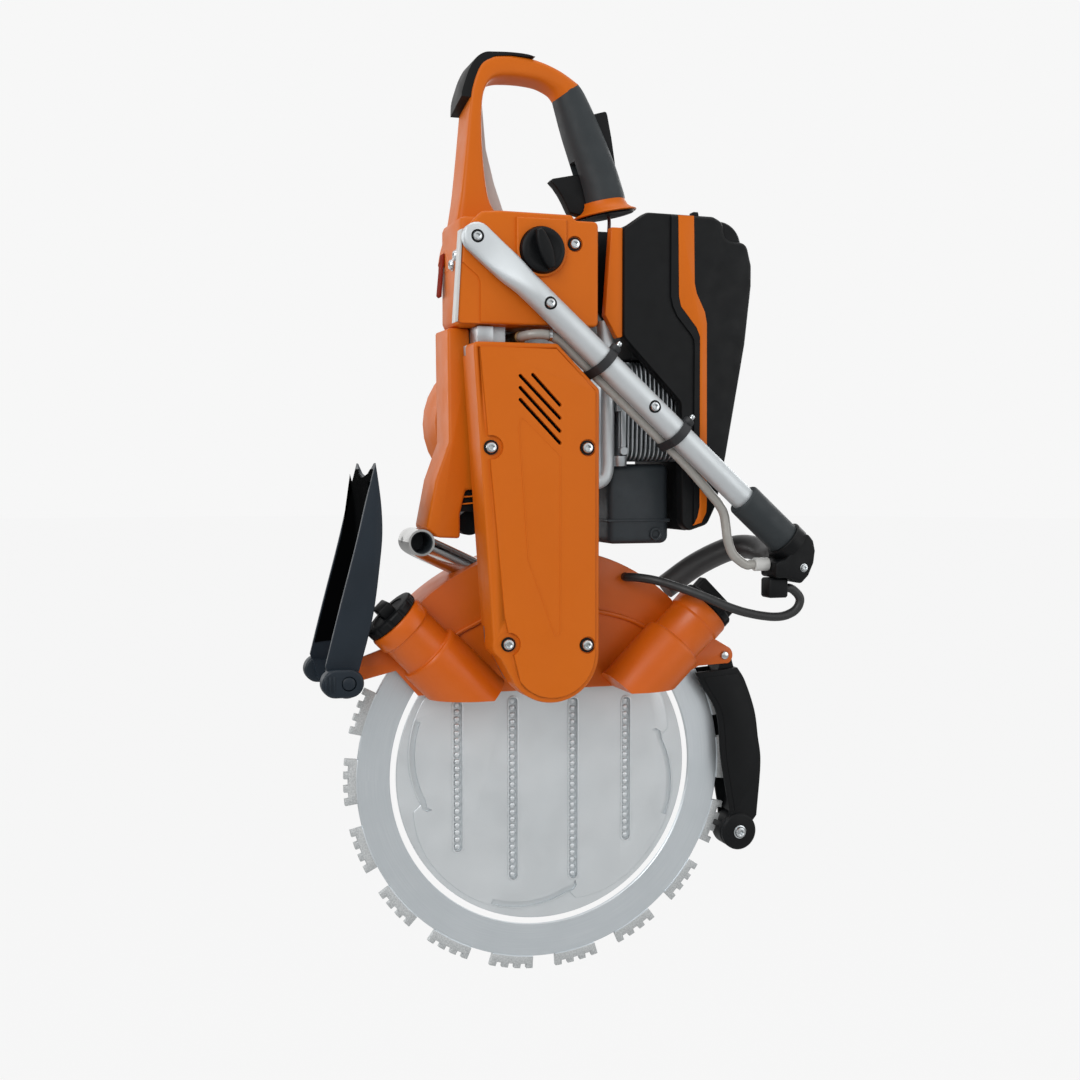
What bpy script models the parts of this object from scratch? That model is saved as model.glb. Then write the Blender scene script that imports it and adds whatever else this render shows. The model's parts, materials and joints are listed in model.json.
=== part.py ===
"""Petrol ring saw, hung by its rear handle with the blade down.

Lengths are metres. The design frame has its origin at the blade's centre: X runs to the engine
side, Z up along the saw to the rear handle, Y away from the belt side. One empty carries every
part and puts the hook point under the rear handle at the world origin.
"""
import math

import bmesh
import bpy
from mathutils import Matrix, Vector

MM = 0.001
GAP = 0.3 * MM

# Blade and its rollers
BLADE_BORE = 144 * MM
BLADE_RIM = 173.7 * MM
BLADE_REACH = 185 * MM
CORE_THICKNESS = 4 * MM
SEGMENT_THICKNESS = 5.4 * MM
SEGMENT_COUNT = 18
SEGMENT_ARC = math.radians(13)
TEETH_PER_SEGMENT = 4
NOTCH_DEPTH = 4 * MM
DISC_CLEARANCE = 6 * MM
DISC_RADIUS = BLADE_BORE - DISC_CLEARANCE
DISC_THICKNESS = 3 * MM
DISC_TOP = 100 * MM
DRIVE_X = -19 * MM
DRIVE_Z = 117 * MM
WHEEL_THICKNESS = 10 * MM
ROLLER_RADIUS = 14 * MM
ROLLER_GROOVE = 2.3 * MM
ROLLER_WIDTH = 8 * MM
ROLLER_PIN = 4 * MM
ROLLER_CLEARANCE = 1.5 * MM
HOUSING_ANGLE = math.radians(45)
SIDES = (("left", math.pi - HOUSING_ANGLE), ("right", HOUSING_ANGLE))
WHEEL_RADIUS = BLADE_BORE - math.hypot(DRIVE_X, DRIVE_Z) - GAP
GROOVE_RADIUS = ROLLER_RADIUS - ROLLER_GROOVE
ROLLER_RING = BLADE_BORE - GROOVE_RADIUS - GAP

# Cutting head: hood behind the roller cover
HOOD_NEAR = -12 * MM
HOOD_FAR = 42 * MM
HOOD_WALL = 3 * MM
HOOD_ARC_RADIUS = 175 * MM
HOOD_ARC_Z = 28 * MM
HOOD_HALF_WIDTH = 132 * MM
HOOD_FOOT_Z = 75 * MM
HOUSING_Y = -31 * MM
HOUSING_RADIUS = 29 * MM
HOUSING_NECK_RADIUS = 24.5 * MM
HOUSING_BORE = 13 * MM
HOUSING_BORE_START = 121 * MM
HOUSING_INNER = 100 * MM
HOUSING_STEP = BLADE_REACH - 14 * MM
HOUSING_END = BLADE_REACH + 21 * MM
KNOB_RADIUS = 25.5 * MM
KNOB_THICKNESS = 8 * MM
KNOB_BAR_HEIGHT = 7 * MM
KNOB_BAR_WIDTH = 13 * MM
KNOB_BAR_LENGTH = 28 * MM
PLUNGER_STROKE = 3 * MM

# Splash guards
FRONT_PIVOT = (BLADE_REACH - 9 * MM, 99 * MM)
FRONT_GUARD_DEPTH = 30 * MM
FRONT_GUARD_WALL = 3.5 * MM
FRONT_ROLLER = (BLADE_REACH + 6 * MM, -70 * MM)
FRONT_ROLLER_RADIUS = 17 * MM
FRONT_ROLLER_WIDTH = 20 * MM
FRONT_LUG_RADIUS = 9 * MM
CHANNEL_CLEARANCE = 8 * MM
REAR_PIVOT = (-BLADE_REACH - 4 * MM, 95 * MM)
REAR_GUARD_WIDTH = 90 * MM
REAR_GUARD_WALL = 4 * MM
REAR_PIN_RADIUS = 6 * MM
REAR_CAP_THICKNESS = 10 * MM
EAR_RADIUS = 9 * MM
SCREW_SHANK = 3 * MM

# Belt drive and engine
COVER_FACE = -88 * MM
COVER_DEPTH = 29 * MM
COVER_WALL = 2.5 * MM
COVER_LEFT = -89 * MM
COVER_TOP = 381 * MM
COVER_NOSE_RADIUS = 42 * MM
COVER_SHOULDER = 38 * MM
COVER_BOSS = (-59 * MM, 127 * MM)
COVER_BOSS_RADIUS = 12 * MM
ARM_THICKNESS = 11 * MM
ARM_NEAR = COVER_FACE + COVER_DEPTH + GAP
ARM_FAR = ARM_NEAR + ARM_THICKNESS
CRANK_X = DRIVE_X
CRANK_Z = 318 * MM
BELT_WIDTH = 12 * MM
BELT_THICKNESS = 5 * MM
BELT_Y = -70 * MM
CRANK_PULLEY_RADIUS = 28 * MM
DRIVE_PULLEY_RADIUS = 32 * MM
SHAFT_RADIUS = 9 * MM
BEARING_RADIUS = 16 * MM
FLYWHEEL_RADIUS = 58 * MM
FLYWHEEL_WIDTH = 24 * MM
CASE_NEAR = ARM_FAR + GAP
CASE_FAR = 58 * MM
CASE_LEFT = -74 * MM
CASE_RIGHT = 40 * MM
CASE_BOTTOM = 262 * MM
CASE_TOP = 372 * MM
CASE_WALL = 10 * MM
POST_LEFT = -80 * MM
POST_RIGHT = -66 * MM
POST_NEAR = -66 * MM
STARTER_RADIUS = 68 * MM
STARTER_DEPTH = 52 * MM
STARTER_WALL = 3 * MM
ROPE_RADIUS = 2 * MM
ROPE_LENGTH = 125 * MM
PULL_NECK = 8 * MM
PULL_WALL = 5 * MM
PULL_THICKNESS = 16 * MM
PULL_LENGTH = 48 * MM
FIN_COUNT = 15
FIN_PITCH = 4.2 * MM
FIN_THICKNESS = 1.7 * MM
FIN_HEIGHT = 92 * MM
FIN_DEPTH = 96 * MM
BARREL_RADIUS = 31 * MM
CYLINDER_Z = 326 * MM
CYLINDER_Y = 2 * MM
CYLINDER_END = 118 * MM
PIPE_RADIUS = 6 * MM

# Muffler and air filter
MUFFLER_LEFT = 50 * MM
MUFFLER_RIGHT = 110 * MM
MUFFLER_BOTTOM = HOOD_ARC_Z + HOOD_ARC_RADIUS + 4 * MM
MUFFLER_TOP = CYLINDER_Z - FIN_HEIGHT / 2 - GAP
MUFFLER_NEAR = -34 * MM
MUFFLER_FAR = 44 * MM
MUFFLER_WALL = 3 * MM
OUTLET_RADIUS = 5 * MM
OUTLET_DEPTH = 12 * MM
FILTER_NEAR = -62 * MM
FILTER_COVER_DEPTH = 13 * MM
FILTER_FAR = 74 * MM
FILTER_WALL = 4 * MM
ELEMENT_LIFT = 81 * MM
ELEMENT_THICKNESS = 15.7 * MM
ELEMENT_HEIGHT = 160 * MM
FILTER_EDGE = [(117, 219), (136, 225), (145, 243), (154, 287), (172, 387), (178, 440), (178, 458),
               (173, 478), (151, 480), (150, 495), (140, 500), (86, 502), (66, 488)]

# Tank, rear handle and grip
TANK_LEFT = -95 * MM
TANK_RIGHT = 26 * MM
TANK_BOTTOM = 396 * MM
TANK_TOP = 488 * MM
TANK_NEAR = -64 * MM
TANK_FAR = 2 * MM
TANK_WALL = 5 * MM
PANEL_THICKNESS = 9 * MM
CAP_X = -26 * MM
CAP_Z = 460 * MM
CAP_RADIUS = 19.5 * MM
CAP_NECK_RADIUS = 15 * MM
CAP_LIFT = 8 * MM
CAP_BAR_LIFT = 7 * MM
HANDLE_Y = -8 * MM
HANDLE_DEPTH = 40 * MM
HOOK_X = -32 * MM
HOOK_Z = 618.5 * MM
HOOK_SEAT = 36 * MM
GRIP_TOP = (17 * MM, 611 * MM)
GRIP_FOOT = (55 * MM, 514 * MM)
GRIP_TOP_RADIUS = 14.5 * MM
GRIP_RADIUS = 20.5 * MM
GRIP_CORE = 11 * MM
FLANGE_RADIUS = 27 * MM
FLANGE_THICKNESS = 5 * MM
TRIGGER_WIDTH = 12 * MM
LOCK_WIDTH = 11 * MM
LEVER_PIN = 2 * MM
CABLE_RADIUS = 1.6 * MM
BUMPER_THICKNESS = 7 * MM
SHELL_NEAR = -42 * MM
SHELL_FAR = 4 * MM
HANDLE_BACK = [(-76, 586), (-73, 606), (-68, 624), (-59, 634), (-35, 638.5), (-10, 636)]
FLAP_NEAR = -14 * MM
FLAP_FAR = -1 * MM

# Front handle and water line
TUBE_RADIUS = 11 * MM
TUBE_START = (-84 * MM, 467 * MM)
TUBE_END = (205 * MM, 207 * MM)
TUBE_FLAT_LENGTH = 62 * MM
DIMPLES = (80 * MM, 207 * MM)
DIMPLE_DEPTH = 3 * MM
TUBE_FLAT_THICKNESS = 9 * MM
SLEEVE_LENGTH = 62 * MM
SLEEVE_RADIUS = 15.5 * MM
CROSS_RADIUS = 14 * MM
STRAPS = (149 * MM, 241 * MM)
STRAP_WIDTH = 8 * MM
STRAP_THICKNESS = 1.6 * MM
HOSE_RADIUS = 4.2 * MM
SPRAY_RADIUS = 4 * MM
TUBE_Y = TANK_NEAR - 2 * GAP - PANEL_THICKNESS - TUBE_RADIUS
TUBE_FROM = Vector((TUBE_START[0], TUBE_Y, TUBE_START[1]))
TUBE_TO = Vector((TUBE_END[0], TUBE_Y, TUBE_END[1]))
TUBE_RUN = (TUBE_TO - TUBE_FROM).normalized()
TUBE_SIDE = Vector((TUBE_RUN.z, 0, -TUBE_RUN.x))
HOSE_DROP = 11.5 * MM
HOSE_BACK = math.sqrt((TUBE_RADIUS + HOSE_RADIUS + 2 * GAP) ** 2 - HOSE_DROP ** 2)
NIPPLE_NEAR = -60 * MM
NIPPLE_RADIUS = 5.5 * MM
CLAMP_LEFT = 184 * MM
CLAMP_BOTTOM = 178 * MM
FOOT_NEAR = -45 * MM
FOOT_RADIUS = 11.5 * MM
FOOT_BORE = 9.5 * MM
FOOT_BORE_DEPTH = 40 * MM
BOLT_HEAD_RADIUS = 5.5 * MM
BOLT_HEAD_HEIGHT = 4 * MM

ORANGE = "#E0661A"
BLACK = "#16191B"
NAVY = "#222B33"
DARK_GREY = "#35373A"
ALLOY = "#B9BDC0"
STEEL = "#A7ADB3"


def linear(hex_colour):
    """Linear RGBA from an sRGB hex colour."""
    channels = [int(hex_colour[i:i + 2], 16) / 255 for i in (1, 3, 5)]
    return [c / 12.92 if c <= 0.04045 else ((c + 0.055) / 1.055) ** 2.4 for c in channels] + [1.0]


def clear_scene():
    for old in list(bpy.data.objects):
        bpy.data.objects.remove(old, do_unlink=True)
    for old in list(bpy.data.collections):
        bpy.data.collections.remove(old)


clear_scene()
PARTS = bpy.data.collections.new("ring_saw")
CUTTERS = bpy.data.collections.new("cutters")
bpy.context.scene.collection.children.link(PARTS)
bpy.context.scene.collection.children.link(CUTTERS)
SAW = bpy.data.objects.new("saw_frame", None)
SAW.location = (-HOOK_X, -HANDLE_Y, -HOOK_Z)
PARTS.objects.link(SAW)


def finish(obj, colour, roughness=0.5, metallic=0.0, smooth=35):
    """Give a part its material and smooth shading."""
    material = bpy.data.materials.new(obj.name)
    material.use_nodes = True
    shader = material.node_tree.nodes["Principled BSDF"]
    shader.inputs["Base Color"].default_value = linear(colour)
    shader.inputs["Roughness"].default_value = roughness
    shader.inputs["Metallic"].default_value = metallic
    obj.data.materials.clear()
    obj.data.materials.append(material)
    if obj.type == "MESH":
        obj.data.shade_smooth()
        obj.data.set_sharp_from_angle(angle=math.radians(smooth))
    return obj


def joint_empty(name, place):
    """An empty on a joint's axis, which carries the pieces that turn or slide with it."""
    empty = bpy.data.objects.new(name, None)
    empty.parent = SAW
    empty.location = place
    PARTS.objects.link(empty)
    return empty


def mesh_object(name, mesh_builder, place=(0, 0, 0), carrier=None):
    """An object from a filled bmesh, in the design frame or on its joint's empty."""
    mesh = bpy.data.meshes.new(name)
    mesh_builder.to_mesh(mesh)
    mesh_builder.free()
    obj = bpy.data.objects.new(name, mesh)
    obj.location = place
    PARTS.objects.link(obj)
    carry(obj, carrier)
    return obj


def carry(obj, carrier):
    """Parent a piece to the frame or to a joint, keeping it where it is in the design frame."""
    if carrier is None:
        obj.parent = SAW
        return
    obj.parent = carrier
    obj.location = Vector(obj.location) - carrier.location


def toward(direction):
    """Rotation that turns +Z to a direction."""
    return Vector((0, 0, 1)).rotation_difference(Vector(direction)).to_matrix().to_4x4()


def box(name, low, high, bevel=0.0, carrier=None):
    """A block between two corners, with rounded edges where a bevel is given."""
    low = Vector(low)
    high = Vector(high)
    builder = bmesh.new()
    size = high - low
    bmesh.ops.create_cube(builder, size=1.0, matrix=Matrix.Diagonal((*size, 1.0)))
    obj = mesh_object(name, builder, (low + high) / 2, carrier)
    if bevel:
        rounding = obj.modifiers.new("rounding", "BEVEL")
        rounding.width = bevel
        rounding.segments = 2
    return obj


def rod(name, start, end, radius, sides=24, carrier=None, end_radius=None):
    """A round bar, or a cone where the second radius differs, between two points."""
    start = Vector(start)
    end = Vector(end)
    builder = bmesh.new()
    turn = toward(end - start)
    tip = radius if end_radius is None else end_radius
    bmesh.ops.create_cone(builder, cap_ends=True, segments=sides, radius1=radius, radius2=tip,
                          depth=(end - start).length, matrix=turn)
    return mesh_object(name, builder, (start + end) / 2, carrier)


def pin(name, x, z, near, far, radius, sides=24, carrier=None):
    """A round bar along Y."""
    return rod(name, (x, near, z), (x, far, z), radius, sides, carrier)


def arc(x, z, radius, start, end, steps):
    """Points along a circle, angles in degrees from +X towards +Z."""
    angles = [math.radians(start + (end - start) * i / steps) for i in range(steps + 1)]
    return [(x + radius * math.cos(a), z + radius * math.sin(a)) for a in angles]


def circle(x, z, radius, steps=24):
    return arc(x, z, radius, 0, 360 - 360 / steps, steps - 1)


def rounded(corners, radius, steps=3):
    """An outline with its corners rounded; the radius is limited by the edges beside it."""
    outline = []
    count = len(corners)
    for i in range(count):
        corner = Vector(corners[i])
        before = Vector(corners[i - 1]) - corner
        after = Vector(corners[(i + 1) % count]) - corner
        half = before.angle(after) / 2
        reach = min(radius / math.tan(half), 0.45 * before.length, 0.45 * after.length)
        first = corner + before.normalized() * reach
        last = corner + after.normalized() * reach
        for step in range(steps + 1):
            t = step / steps
            point = first * (1 - t) ** 2 + corner * 2 * t * (1 - t) + last * t ** 2
            outline.append((point.x, point.y))
    return outline


def millimetres(points):
    """Outline points given in millimetres."""
    return [(x * MM, z * MM) for x, z in points]


def curve_mesh(curve_object):
    """A mesh object from a curve, with its caps welded; the curve is removed."""
    bpy.context.view_layer.update()
    graph = bpy.context.evaluated_depsgraph_get()
    mesh = bpy.data.meshes.new_from_object(curve_object.evaluated_get(graph))
    builder = bmesh.new()
    builder.from_mesh(mesh)
    builder.transform(curve_object.matrix_world)
    bmesh.ops.remove_doubles(builder, verts=builder.verts, dist=1e-6)
    bmesh.ops.recalc_face_normals(builder, faces=builder.faces)
    builder.to_mesh(mesh)
    builder.free()
    name = curve_object.name
    data = curve_object.data
    bpy.data.objects.remove(curve_object, do_unlink=True)
    bpy.data.curves.remove(data)
    obj = bpy.data.objects.new(name, mesh)
    PARTS.objects.link(obj)
    return obj


def plate(name, outline, near, far, holes=(), carrier=None):
    """A flat outline in X and Z with any holes, filled between two depths along Y."""
    data = bpy.data.curves.new(name, "CURVE")
    data.dimensions = "2D"
    data.fill_mode = "BOTH"
    data.extrude = (far - near) / 2
    for loop in (outline, *holes):
        spline = data.splines.new("POLY")
        spline.points.add(len(loop) - 1)
        for point, (x, z) in zip(spline.points, loop):
            point.co = (x, z, 0, 1)
        spline.use_cyclic_u = True
    flat = bpy.data.objects.new(name, data)
    flat.rotation_euler = (math.pi / 2, 0, 0)
    flat.location = (0, (near + far) / 2, 0)
    PARTS.objects.link(flat)
    obj = curve_mesh(flat)
    carry(obj, carrier)
    return obj


def tube(name, points, radius, sides=2, carrier=None):
    """A round tube along points, with filled ends."""
    data = bpy.data.curves.new(name, "CURVE")
    data.dimensions = "3D"
    data.bevel_depth = radius
    data.bevel_resolution = sides
    data.use_fill_caps = True
    spline = data.splines.new("POLY")
    spline.points.add(len(points) - 1)
    for point, place in zip(spline.points, points):
        point.co = (*place, 1)
    obj = bpy.data.objects.new(name, data)
    PARTS.objects.link(obj)
    obj = curve_mesh(obj)
    carry(obj, carrier)
    return obj


def smooth_route(points, steps):
    """Points on a smooth curve through a route's own points."""
    knots = [Vector(p) for p in points]
    knots = [2 * knots[0] - knots[1], *knots, 2 * knots[-1] - knots[-2]]
    route = []
    for i in range(1, len(knots) - 2):
        a, b, c, d = knots[i - 1:i + 3]
        for step in range(steps):
            t = step / steps
            route.append(0.5 * (2 * b + (c - a) * t + (2 * a - 5 * b + 4 * c - d) * t ** 2
                                + (3 * b - a - 3 * c + d) * t ** 3))
    route.append(knots[-2])
    return route


def turned(name, profile, place, axis=(0, 1, 0), steps=16, carrier=None):
    """A turned piece: a profile of radius and height, top to bottom, spun round an axis."""
    mesh = bpy.data.meshes.new(name)
    corners = [(radius, 0, height) for radius, height in profile]
    edges = [(i, i + 1) for i in range(len(corners) - 1)]
    if profile[0][0] > 0:
        edges.append((len(corners) - 1, 0))
    mesh.from_pydata(corners, edges, [])
    obj = bpy.data.objects.new(name, mesh)
    spin = obj.modifiers.new("spin", "SCREW")
    spin.steps = steps
    spin.render_steps = steps
    spin.use_merge_vertices = True
    spin.merge_threshold = 1e-5
    obj.rotation_euler = toward(axis).to_euler()
    obj.location = place
    PARTS.objects.link(obj)
    carry(obj, carrier)
    return obj


def as_tool(obj):
    """Move a shape to the cutters' collection."""
    PARTS.objects.unlink(obj)
    CUTTERS.objects.link(obj)
    obj.hide_render = True
    obj.display_type = "WIRE"
    return obj


def combine(target, tools, operation):
    for tool in tools:
        change = target.modifiers.new(operation.lower(), "BOOLEAN")
        change.operation = operation
        change.object = as_tool(tool)
    return target


def cut(target, *tools):
    return combine(target, tools, "DIFFERENCE")


def join(target, *tools):
    return combine(target, tools, "UNION")


def polar(radius, angle):
    """A point in X and Z at an angle from +X."""
    return radius * math.cos(angle), radius * math.sin(angle)


def make_blade():
    """Steel ring with brazed segments; each segment's edge is notched into teeth."""
    spin = joint_empty("blade_axis", (0, 0, 0))
    half = CORE_THICKNESS / 2
    blade = plate("ring_blade", circle(0, 0, BLADE_RIM, 72), -half, half,
                  [circle(0, 0, BLADE_BORE, 72)], spin)
    half = SEGMENT_THICKNESS / 2
    pitch = 2 * math.pi / SEGMENT_COUNT
    root = BLADE_RIM - 3 * MM
    strips = 2 * TEETH_PER_SEGMENT - 1
    for number in range(SEGMENT_COUNT):
        start = number * pitch - SEGMENT_ARC / 2
        outline = [polar(root, start), polar(root, start + SEGMENT_ARC)]
        for strip in reversed(range(strips)):
            reach = BLADE_REACH - (NOTCH_DEPTH if strip % 2 else 0)
            for side in (1, 0):
                outline.append(polar(reach, start + SEGMENT_ARC * (strip + side) / strips))
        join(blade, plate(f"segment_{number}", outline, -half, half, (), spin))
    finish(blade, STEEL, 0.35, 1.0)


def make_disc():
    """Still plate inside the ring, cut away round the wheel and rollers."""
    half = DISC_THICKNESS / 2
    start = math.degrees(math.pi - math.asin(DISC_TOP / DISC_RADIUS))
    outline = arc(0, 0, DISC_RADIUS, start, 540 - start, 64)
    disc = plate("centre_disc", outline, -half, half)
    room = 3 * DISC_THICKNESS
    for side, angle in SIDES:
        x, z = polar(ROLLER_RING - PLUNGER_STROKE / 2, angle)
        cut(disc, pin(f"disc_notch_{side}", x, z, -room, room,
                      ROLLER_RADIUS + PLUNGER_STROKE / 2 + ROLLER_CLEARANCE))
    cut(disc, pin("disc_notch_wheel", DRIVE_X, DRIVE_Z, -room, room, WHEEL_RADIUS + ROLLER_CLEARANCE))
    finish(disc, "#C9CDD0", 0.4, 0.9)


def roller_profile(width):
    """Half a grooved roller from its groove side up to its flange, with a bore for its pin."""
    bore = ROLLER_PIN + GAP
    groove = CORE_THICKNESS / 2 + 2 * GAP
    return [(bore, width), (ROLLER_RADIUS, width), (ROLLER_RADIUS, groove),
            (GROOVE_RADIUS, groove), (GROOVE_RADIUS, GAP), (bore, GAP)]


def make_guide_rollers():
    """Two rollers on pins of the hood, which guide the ring from the far side."""
    for side, angle in SIDES:
        x, z = polar(ROLLER_RING, angle)
        spin = joint_empty(f"guide_axis_{side}", (x, 0, z))
        roller = turned(f"guide_roller_{side}", roller_profile(ROLLER_WIDTH), (x, 0, z), carrier=spin)
        finish(roller, STEEL, 0.3, 1.0)


def make_support_rollers():
    """Two rollers on sprung plungers, which press the ring from the near side."""
    for side, angle in SIDES:
        x, z = polar(ROLLER_RING, angle)
        slide = joint_empty(f"plunger_axis_{side}", (x, HOUSING_Y, z))
        inner = (x, HOUSING_Y, z)
        ax, az = polar(HOUSING_END - KNOB_THICKNESS, angle)
        plunger = rod(f"plunger_{side}", inner, (ax, HOUSING_Y, az), HOUSING_BORE - GAP, 24, slide)
        boss_end = -ROLLER_WIDTH - GAP
        join(plunger, pin(f"plunger_boss_{side}", x, z, HOUSING_Y - ROLLER_PIN, boss_end,
                          2 * ROLLER_PIN, 20, slide))
        join(plunger, pin(f"plunger_pin_{side}", x, z, HOUSING_Y, -2 * GAP, ROLLER_PIN, 20, slide))
        finish(plunger, ALLOY, 0.4, 1.0)
        spin = joint_empty(f"support_axis_{side}", (x, 0, z))
        roller = turned(f"support_roller_{side}", roller_profile(ROLLER_WIDTH), (x, 0, z), (0, -1, 0),
                        carrier=spin)
        finish(roller, STEEL, 0.3, 1.0)


def make_knobs():
    """Adjuster knobs that close the roller housings; the left bar lies along Y, the right across."""
    for side, angle in SIDES:
        direction = Vector((math.cos(angle), 0, math.sin(angle)))
        start = direction * (HOUSING_END + GAP) + Vector((0, HOUSING_Y, 0))
        turn = joint_empty(f"knob_axis_{side}", start)
        top = start + direction * KNOB_THICKNESS
        knob = rod(f"adjuster_knob_{side}", start, top, KNOB_RADIUS, 32, turn)
        builder = bmesh.new()
        size = Vector((KNOB_BAR_WIDTH, KNOB_BAR_LENGTH, KNOB_BAR_HEIGHT + KNOB_THICKNESS / 2))
        across = Matrix.Rotation(math.pi / 2 if side == "right" else 0, 4, "Z")
        bmesh.ops.create_cube(builder, matrix=toward(direction) @ across @ Matrix.Diagonal((*size, 1)))
        middle = top + direction * (size.z / 2 - KNOB_THICKNESS / 2)
        join(knob, mesh_object(f"knob_bar_{side}", builder, middle, turn))
        finish(knob, BLACK, 0.55)


def hood_outline(inset):
    """The hood's arch and straight sides, drawn in by a wall where asked."""
    radius = HOOD_ARC_RADIUS - inset
    half_width = HOOD_HALF_WIDTH - inset
    end = math.degrees(math.acos(half_width / radius))
    outline = arc(0, HOOD_ARC_Z, radius, end, 180 - end, 20)
    return [(half_width, HOOD_FOOT_Z), *outline, (-half_width, HOOD_FOOT_Z)]


def make_hood():
    """Blade guard: far wall and arched rim over the ring, with the bosses of the guide rollers."""
    near = HOOD_NEAR + HOOD_WALL + GAP
    hood = plate("blade_guard", hood_outline(0), near, HOOD_FAR)
    hollow = hood_outline(HOOD_WALL)
    hollow[0] = (hollow[0][0], HOOD_FOOT_Z - HOOD_WALL)
    hollow[-1] = (hollow[-1][0], HOOD_FOOT_Z - HOOD_WALL)
    cut(hood, plate("hood_hollow", hollow, near - HOOD_WALL, HOOD_FAR - HOOD_WALL))
    cut(hood, pin("blade_passage", 0, 0, near - 2 * HOOD_WALL, HOOD_FAR - 2 * HOOD_WALL,
                  BLADE_REACH + HOOD_WALL, 72))
    for side, angle in SIDES:
        x, z = polar(ROLLER_RING, angle)
        join(hood, pin(f"guide_boss_{side}", x, z, ROLLER_WIDTH + GAP, HOOD_FAR - HOOD_WALL / 2,
                       2 * ROLLER_PIN, 20))
        join(hood, pin(f"guide_pin_{side}", x, z, GAP, ROLLER_WIDTH + 2 * HOOD_WALL, ROLLER_PIN, 20))
    seat = (10 * MM, 84 * MM)
    join(hood, pin("disc_boss", *seat, DISC_THICKNESS / 2 + GAP, HOOD_FAR - HOOD_WALL / 2, 6 * MM, 20))
    finish(hood, ORANGE, 0.5)


def make_roller_cover():
    """Near wall of the hood with the two roller housings and the ears for both splash guards."""
    far = HOOD_NEAR + HOOD_WALL
    arch = hood_outline(0)[1:-1]
    front = arc(*FRONT_PIVOT, EAR_RADIUS, -60, 60, 8)
    rear = arc(*REAR_PIVOT, EAR_RADIUS, 110, 260, 8)
    outline = [(120 * MM, HOOD_FOOT_Z), (150 * MM, 90 * MM), *front, (140 * MM, 130 * MM), *arch,
               (-140 * MM, 122 * MM), *rear, (-140 * MM, 98 * MM), (-120 * MM, HOOD_FOOT_Z)]
    holes = [circle(*FRONT_PIVOT, SCREW_SHANK + GAP, 16), circle(*REAR_PIVOT, REAR_PIN_RADIUS + GAP, 20)]
    cover = plate("roller_cover", outline, HOOD_NEAR, far, holes)
    for side, angle in SIDES:
        points = [polar(r, angle) for r in (HOUSING_INNER, HOUSING_STEP, HOUSING_END)]
        places = [Vector((x, HOUSING_Y, z)) for x, z in points]
        overlap = (places[1] - places[0]).normalized() * HOOD_WALL
        join(cover, rod(f"housing_{side}", places[0], places[1], HOUSING_RADIUS, 24))
        join(cover, rod(f"housing_neck_{side}", places[1] - overlap, places[2], HOUSING_NECK_RADIUS, 24))
    wide = 2 * HOOD_ARC_RADIUS
    deep = 4 * HOUSING_RADIUS
    cut(cover, box("cover_foot", (-wide, -deep, -wide), (wide, deep, HOOD_FOOT_Z)))
    cut(cover, box("cover_back", (-wide, far, -wide), (wide, far + deep, wide)))
    for side, angle in SIDES:
        start = polar(HOUSING_BORE_START, angle)
        end = polar(HOUSING_END + HOUSING_BORE, angle)
        cut(cover, rod(f"housing_bore_{side}", (start[0], HOUSING_Y, start[1]),
                       (end[0], HOUSING_Y, end[1]), HOUSING_BORE, 16))
        reach = 2 * ROLLER_PIN + ROLLER_CLEARANCE
        for place in (ROLLER_RING, ROLLER_RING - PLUNGER_STROKE):
            x, z = polar(place, angle)
            cut(cover, pin(f"boss_room_{side}_{place:.4f}", x, z, HOUSING_Y, HOUSING_BORE, reach, 12))
    cut(cover, pin("cover_shaft_room", DRIVE_X, DRIVE_Z, -deep, deep, BEARING_RADIUS))
    finish(cover, ORANGE, 0.5)


def beside_blade(points, side=1):
    """Outline points in millimetres, counted outwards from the blade's reach on one side."""
    return [(side * BLADE_REACH + x * MM, z * MM) for x, z in points]


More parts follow.
